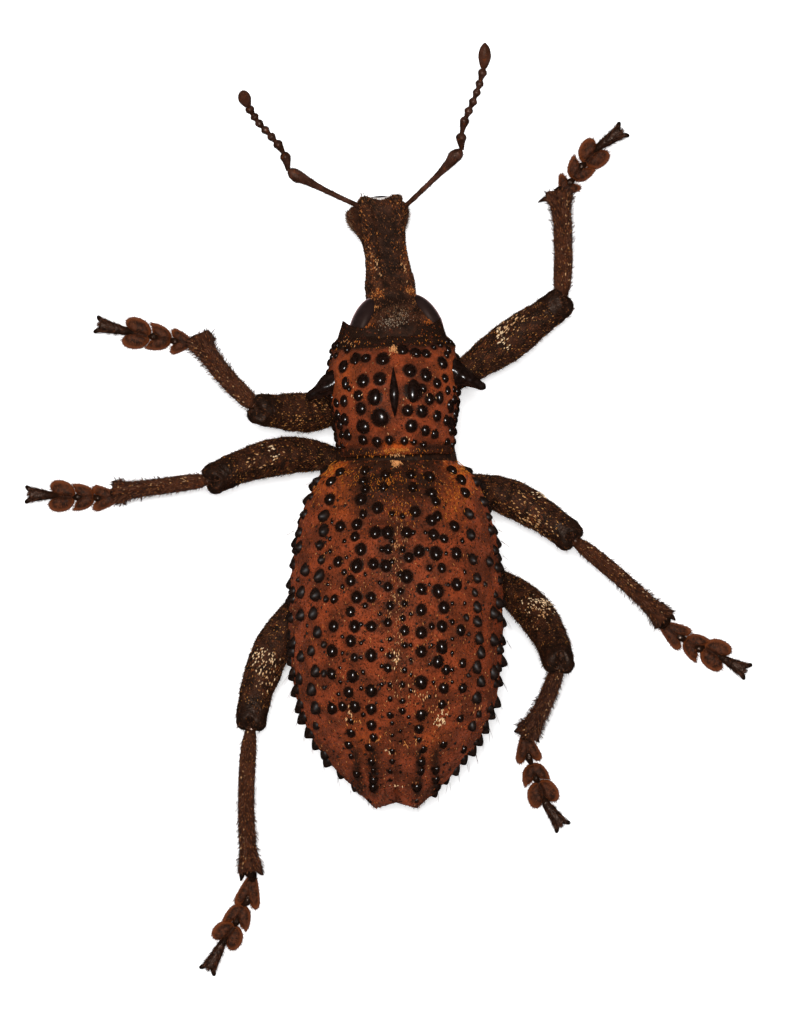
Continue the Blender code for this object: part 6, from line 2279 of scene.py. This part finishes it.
    def tarsus(self) -> None:
        """The three pads and the joint that carries them, with their hairs and claws."""
        name = "tarsus_" + self.stance.name
        shell = Shell(name + "_pads")
        edges = []
        for number in range(3):
            rings, rim, furrow = self.pad_rings(number)
            shell.add(rings, (0.25 * number, 0, 0.25 * number + 0.23, 1), rim=rim,
                      bare=(0.4 + self.furrows[number]) * furrow,
                      cover=(np.arange(len(rings)) < self.pad_rows - 1)[:, None], stature=1)
            edges.append((rings[self.pad_rows - 1], rings[0].mean(axis=0)))
        pads = install(shell.build(), Slot.TARSUS, self.wardrobe.pad, (name,))
        nap = Planting(self.wardrobe.hair, self.wardrobe.pad_hair, (0.02, 0.1, 0.08), 75, 0.35,
                       0.35, 0.7, 10)
        install(nap.over(name + "_nap", pads), Slot.TARSUS)
        core = self.claw_joint(name)
        hairs = Planting(self.wardrobe.hair, self.wardrobe.bristle, (0.026, 0.2, 0.16), 150, 0.35,
                         0.5, 0.4, 8)
        install(hairs.over(name + "_joint_hairs", core), Slot.TARSUS)
        install(self.fringe(edges), Slot.TARSUS)

    def claw_joint(self, name: str) -> Object:
        """The joints between the pads, the claw joint and the two claws, as one piece."""
        stops = [self.ankle - self.shin * 0.1, self.ankle + self.shin * 0.2]
        girths = [0.3, 0.25]
        for number, (heights, thickness) in enumerate(self.pad_joints):
            base, joint = self.foot[2 * number:2 * number + 2]
            stops += [point + UP * height
                      for point, height in zip((base, (base + joint) / 2, joint), heights)]
            girths += thickness
        tip = self.foot[-1]
        along = unit(tip - self.foot[-2])
        across = np.array([along[1], -along[0], 0])
        stops += [(joint + tip) / 2 + UP * 0.48, tip + UP * 0.46]
        girths += [0.26, 0.33]
        path, girth = routed(stops, girths, 130)
        beyond, closing = rounded_end(girth[-1], 0.13)
        path = np.concatenate([path, path[-1] + along * beyond[:, None]])
        rings, spread, _ = limb_rings(path, np.concatenate([girth, closing]), 24, 1.1)
        rings += spread * Ripple(0.3, 0.01, 61).at(rings)[..., None]
        shell = Shell(name + "_joints")
        last = np.sum((path - joint) * along, axis=1)[:, None]
        hairy = step(-0.1, 0.3, last)
        shell.add(rings, (0, 0, 0.6, 1), cover=hairy, stature=1, bare=0.8 - 0.3 * hairy, rust=0,
                  cream=0, gloss=0.9 - 0.3 * hairy)
        share = np.linspace(0, 1, 22)
        thin = self.claw_taper.at(share) * self.claw_radius
        for side, box in ((-1, (0.65, 0, 0.8, 1)), (1, (0.82, 0, 0.97, 1))):
            out = across * side
            root = tip + out * 0.15 - along * 0.05 + UP * 0.42
            end = tip + out * 0.34 + along * 0.2 + UP * 0.05
            over = tip + out * 0.48 + along * 0.42 + UP * 0.42
            rings, _, _ = limb_rings(bent(root, over, end, share), thin, 14)
            shell.add(rings, box, cover=0, stature=0, bare=0.9, rust=0, cream=0, gloss=0.8)
        return install(shell.build(), Slot.TARSUS, self.wardrobe.cuticle)

    def fringe(self, edges: Sequence[tuple[Array, Array]]) -> Object:
        """The short hairs that edge the pads, leaning towards the claws."""
        draw = np.random.default_rng(len(self.stance.name) * 7 + 3)
        along = unit(self.foot[-1] - self.foot[0])
        flat = np.array([1, 1, 0.3])
        rows = []
        for number, (edge, centre) in enumerate(edges):
            picks = np.repeat(np.arange(len(edge)), self.fringe_hairs)
            spot = edge[picks] + draw.normal(0, 0.02, (len(picks), 3)) * flat
            out = unit((spot - centre) * [1, 1, 0])
            way = unit(out + along * 0.6 + draw.normal(0, 0.15, (len(picks), 3)) * flat)
            rows.append((spot - out * 0.05 + 0.05 * UP, way,
                         stack(0.25 * number + 0.2 * picks / len(edge), 0.5)))
        points, ways, roots = joined(rows)
        length = draw.uniform(0.09, 0.18, len(points))
        hairs = Planting(self.wardrobe.hair, self.wardrobe.pad_hair, lift=0.0, turn=0.3)
        return hairs.on("tarsus_" + self.stance.name + "_fringe", points,
                        np.tile(UP, (len(points), 1)), ways, stack(0.018, length, length), roots,
                        cream=length * 0)

    def build(self) -> None:
        """Build every piece of the leg."""
        name, dress = self.stance.name, self.wardrobe
        shell = Shell("leg_" + name)
        skins = [self.femur(shell), self.tibia(shell)]
        self.coxa_ball(shell)
        nodes = [part + name for part in ("coxa_", "femur_", "tibia_")]
        skin = install(shell.build(), Slot.LEG, dress.cuticle, nodes)
        scales = Planting(dress.leaf, dress.pelt, (0.045, 0.13, 0.1), 75, 0.35, 0.22, 0.35, 7)
        install(scales.over("leg_" + name + "_scales", skin), Slot.LEG)
        golden = Planting(dress.leaf, dress.leg_gold, variety=0.2, lift=0.1, turn=0.35)
        install(sown("leg_" + name + "_golden_scales", golden, skins, 0.15, 0.4), Slot.LEG)
        hairs = Planting(dress.hair, dress.bristle, (0.034, 0.27, 0.2), 55, 0.3, 0.72, 0.3, 9)
        install(hairs.over("leg_" + name + "_bristles", skin), Slot.LEG)
        self.tarsus()


@dataclass
class Studio:
    """The pale floor, the soft lights and the camera straight above."""

    camera_place: tuple[float, float, float] = (0.000325, -0.00015, 0.242)
    lens: float = 170.0
    floor_size: float = 2.0
    # The floor is a light table: how bright it is of itself.
    floor_glow: float = 0.45

    def light(self, name: str, place: Sequence[float], size: float, power: float,
              shines: bool) -> None:
        """A round lamp aimed at the animal, seen or not in what shines."""
        data = bpy.data.lights.new(name, "AREA")
        data.shape = "DISK"
        data.size = size
        data.energy = power
        lamp = bpy.data.objects.new(name, data)
        lamp.visible_glossy = shines
        lamp.location = place
        towards = np.array([0, 0, 0.005]) - np.array(place)
        lamp.rotation_euler = (math.atan2(math.hypot(*towards[:2]), -towards[2]), 0,
                               math.atan2(towards[0], -towards[1]) + math.pi)
        bpy.context.scene.collection.objects.link(lamp)

    def build(self) -> None:
        """Set up the studio."""
        scene = bpy.context.scene
        mesh = bpy.data.meshes.new("floor")
        half = self.floor_size / 2
        mesh.from_pydata([(-half, -half, 0), (half, -half, 0), (half, half, 0), (-half, half, 0)],
                         [], [(0, 1, 2, 3)])
        floor = linked("floor", mesh)
        paint = Paint("floor_white")
        tone = paint.mix(paint.noise(30, 2), (0.93, 0.925, 0.93), (0.95, 0.945, 0.945))
        mesh.materials.append(paint.finish(Base_Color=tone, Roughness=0.9,
                                           Specular_IOR_Level=0.1, Emission_Color=(1.0, 1.0, 1.0),
                                           Emission_Strength=self.floor_glow))
        floor.visible_glossy = False
        world = bpy.data.worlds.new("studio")
        world.use_nodes = True
        world.node_tree.nodes["Background"].inputs[0].default_value = (1, 1, 1, 1)
        world.node_tree.nodes["Background"].inputs[1].default_value = 0.4
        world.cycles_visibility.glossy = False
        scene.world = world
        self.light("flash", (-0.004, 0.022, 0.262), 0.055, 0.5, True)
        self.light("soft", (-0.1, 0.12, 0.3), 0.25, 0.25, False)
        camera = bpy.data.objects.new("camera", bpy.data.cameras.new("camera"))
        camera.location = self.camera_place
        camera.data.lens = self.lens
        camera.data.sensor_width = 36
        camera.data.clip_start = 0.01
        scene.collection.objects.link(camera)
        scene.camera = camera
        scene.view_settings.view_transform = "Standard"


def main() -> None:
    """Build the animal part by part, then the studio."""
    logging.basicConfig(level=logging.INFO, format="%(message)s")
    wardrobe = Wardrobe()
    WingCases(wardrobe).build()
    Underside(wardrobe).build()
    Pronotum(wardrobe).build()
    Head(wardrobe).build()
    Antenna(wardrobe, "left", (-1.25, 14.85, 3.8), (-4.88, 16.58, 5.2),
            ((-5.01, 17.21, 5.35), (-5.36, 17.81, 5.5), (-5.67, 18.17, 5.65), (-5.97, 18.49, 5.85),
             (-6.26, 18.8, 6.05), (-6.48, 19.09, 6.2), (-6.71, 19.44, 6.4)),
            ((-6.78, 19.58, 6.45), (-6.97, 19.98, 6.85), (-7.02, 20.24, 7.35)), -1.0).build()
    Antenna(wardrobe, "right", (0.86, 14.95, 3.5), (3.62, 17.6, 5.0),
            ((3.59, 18.16, 5.15), (3.75, 18.96, 5.35), (3.95, 19.44, 5.55), (4.15, 19.87, 5.75),
             (4.33, 20.31, 5.95), (4.47, 20.72, 6.15), (4.6, 21.23, 6.35)),
            ((4.66, 21.41, 6.42), (4.71, 22.0, 6.65), (4.72, 22.68, 6.9)), -1.0).build()
    for stance in STANCES:
        Leg(wardrobe, stance).build()
    wardrobe.put_away()
    Studio().build()


if __name__ == "__main__":
    main()
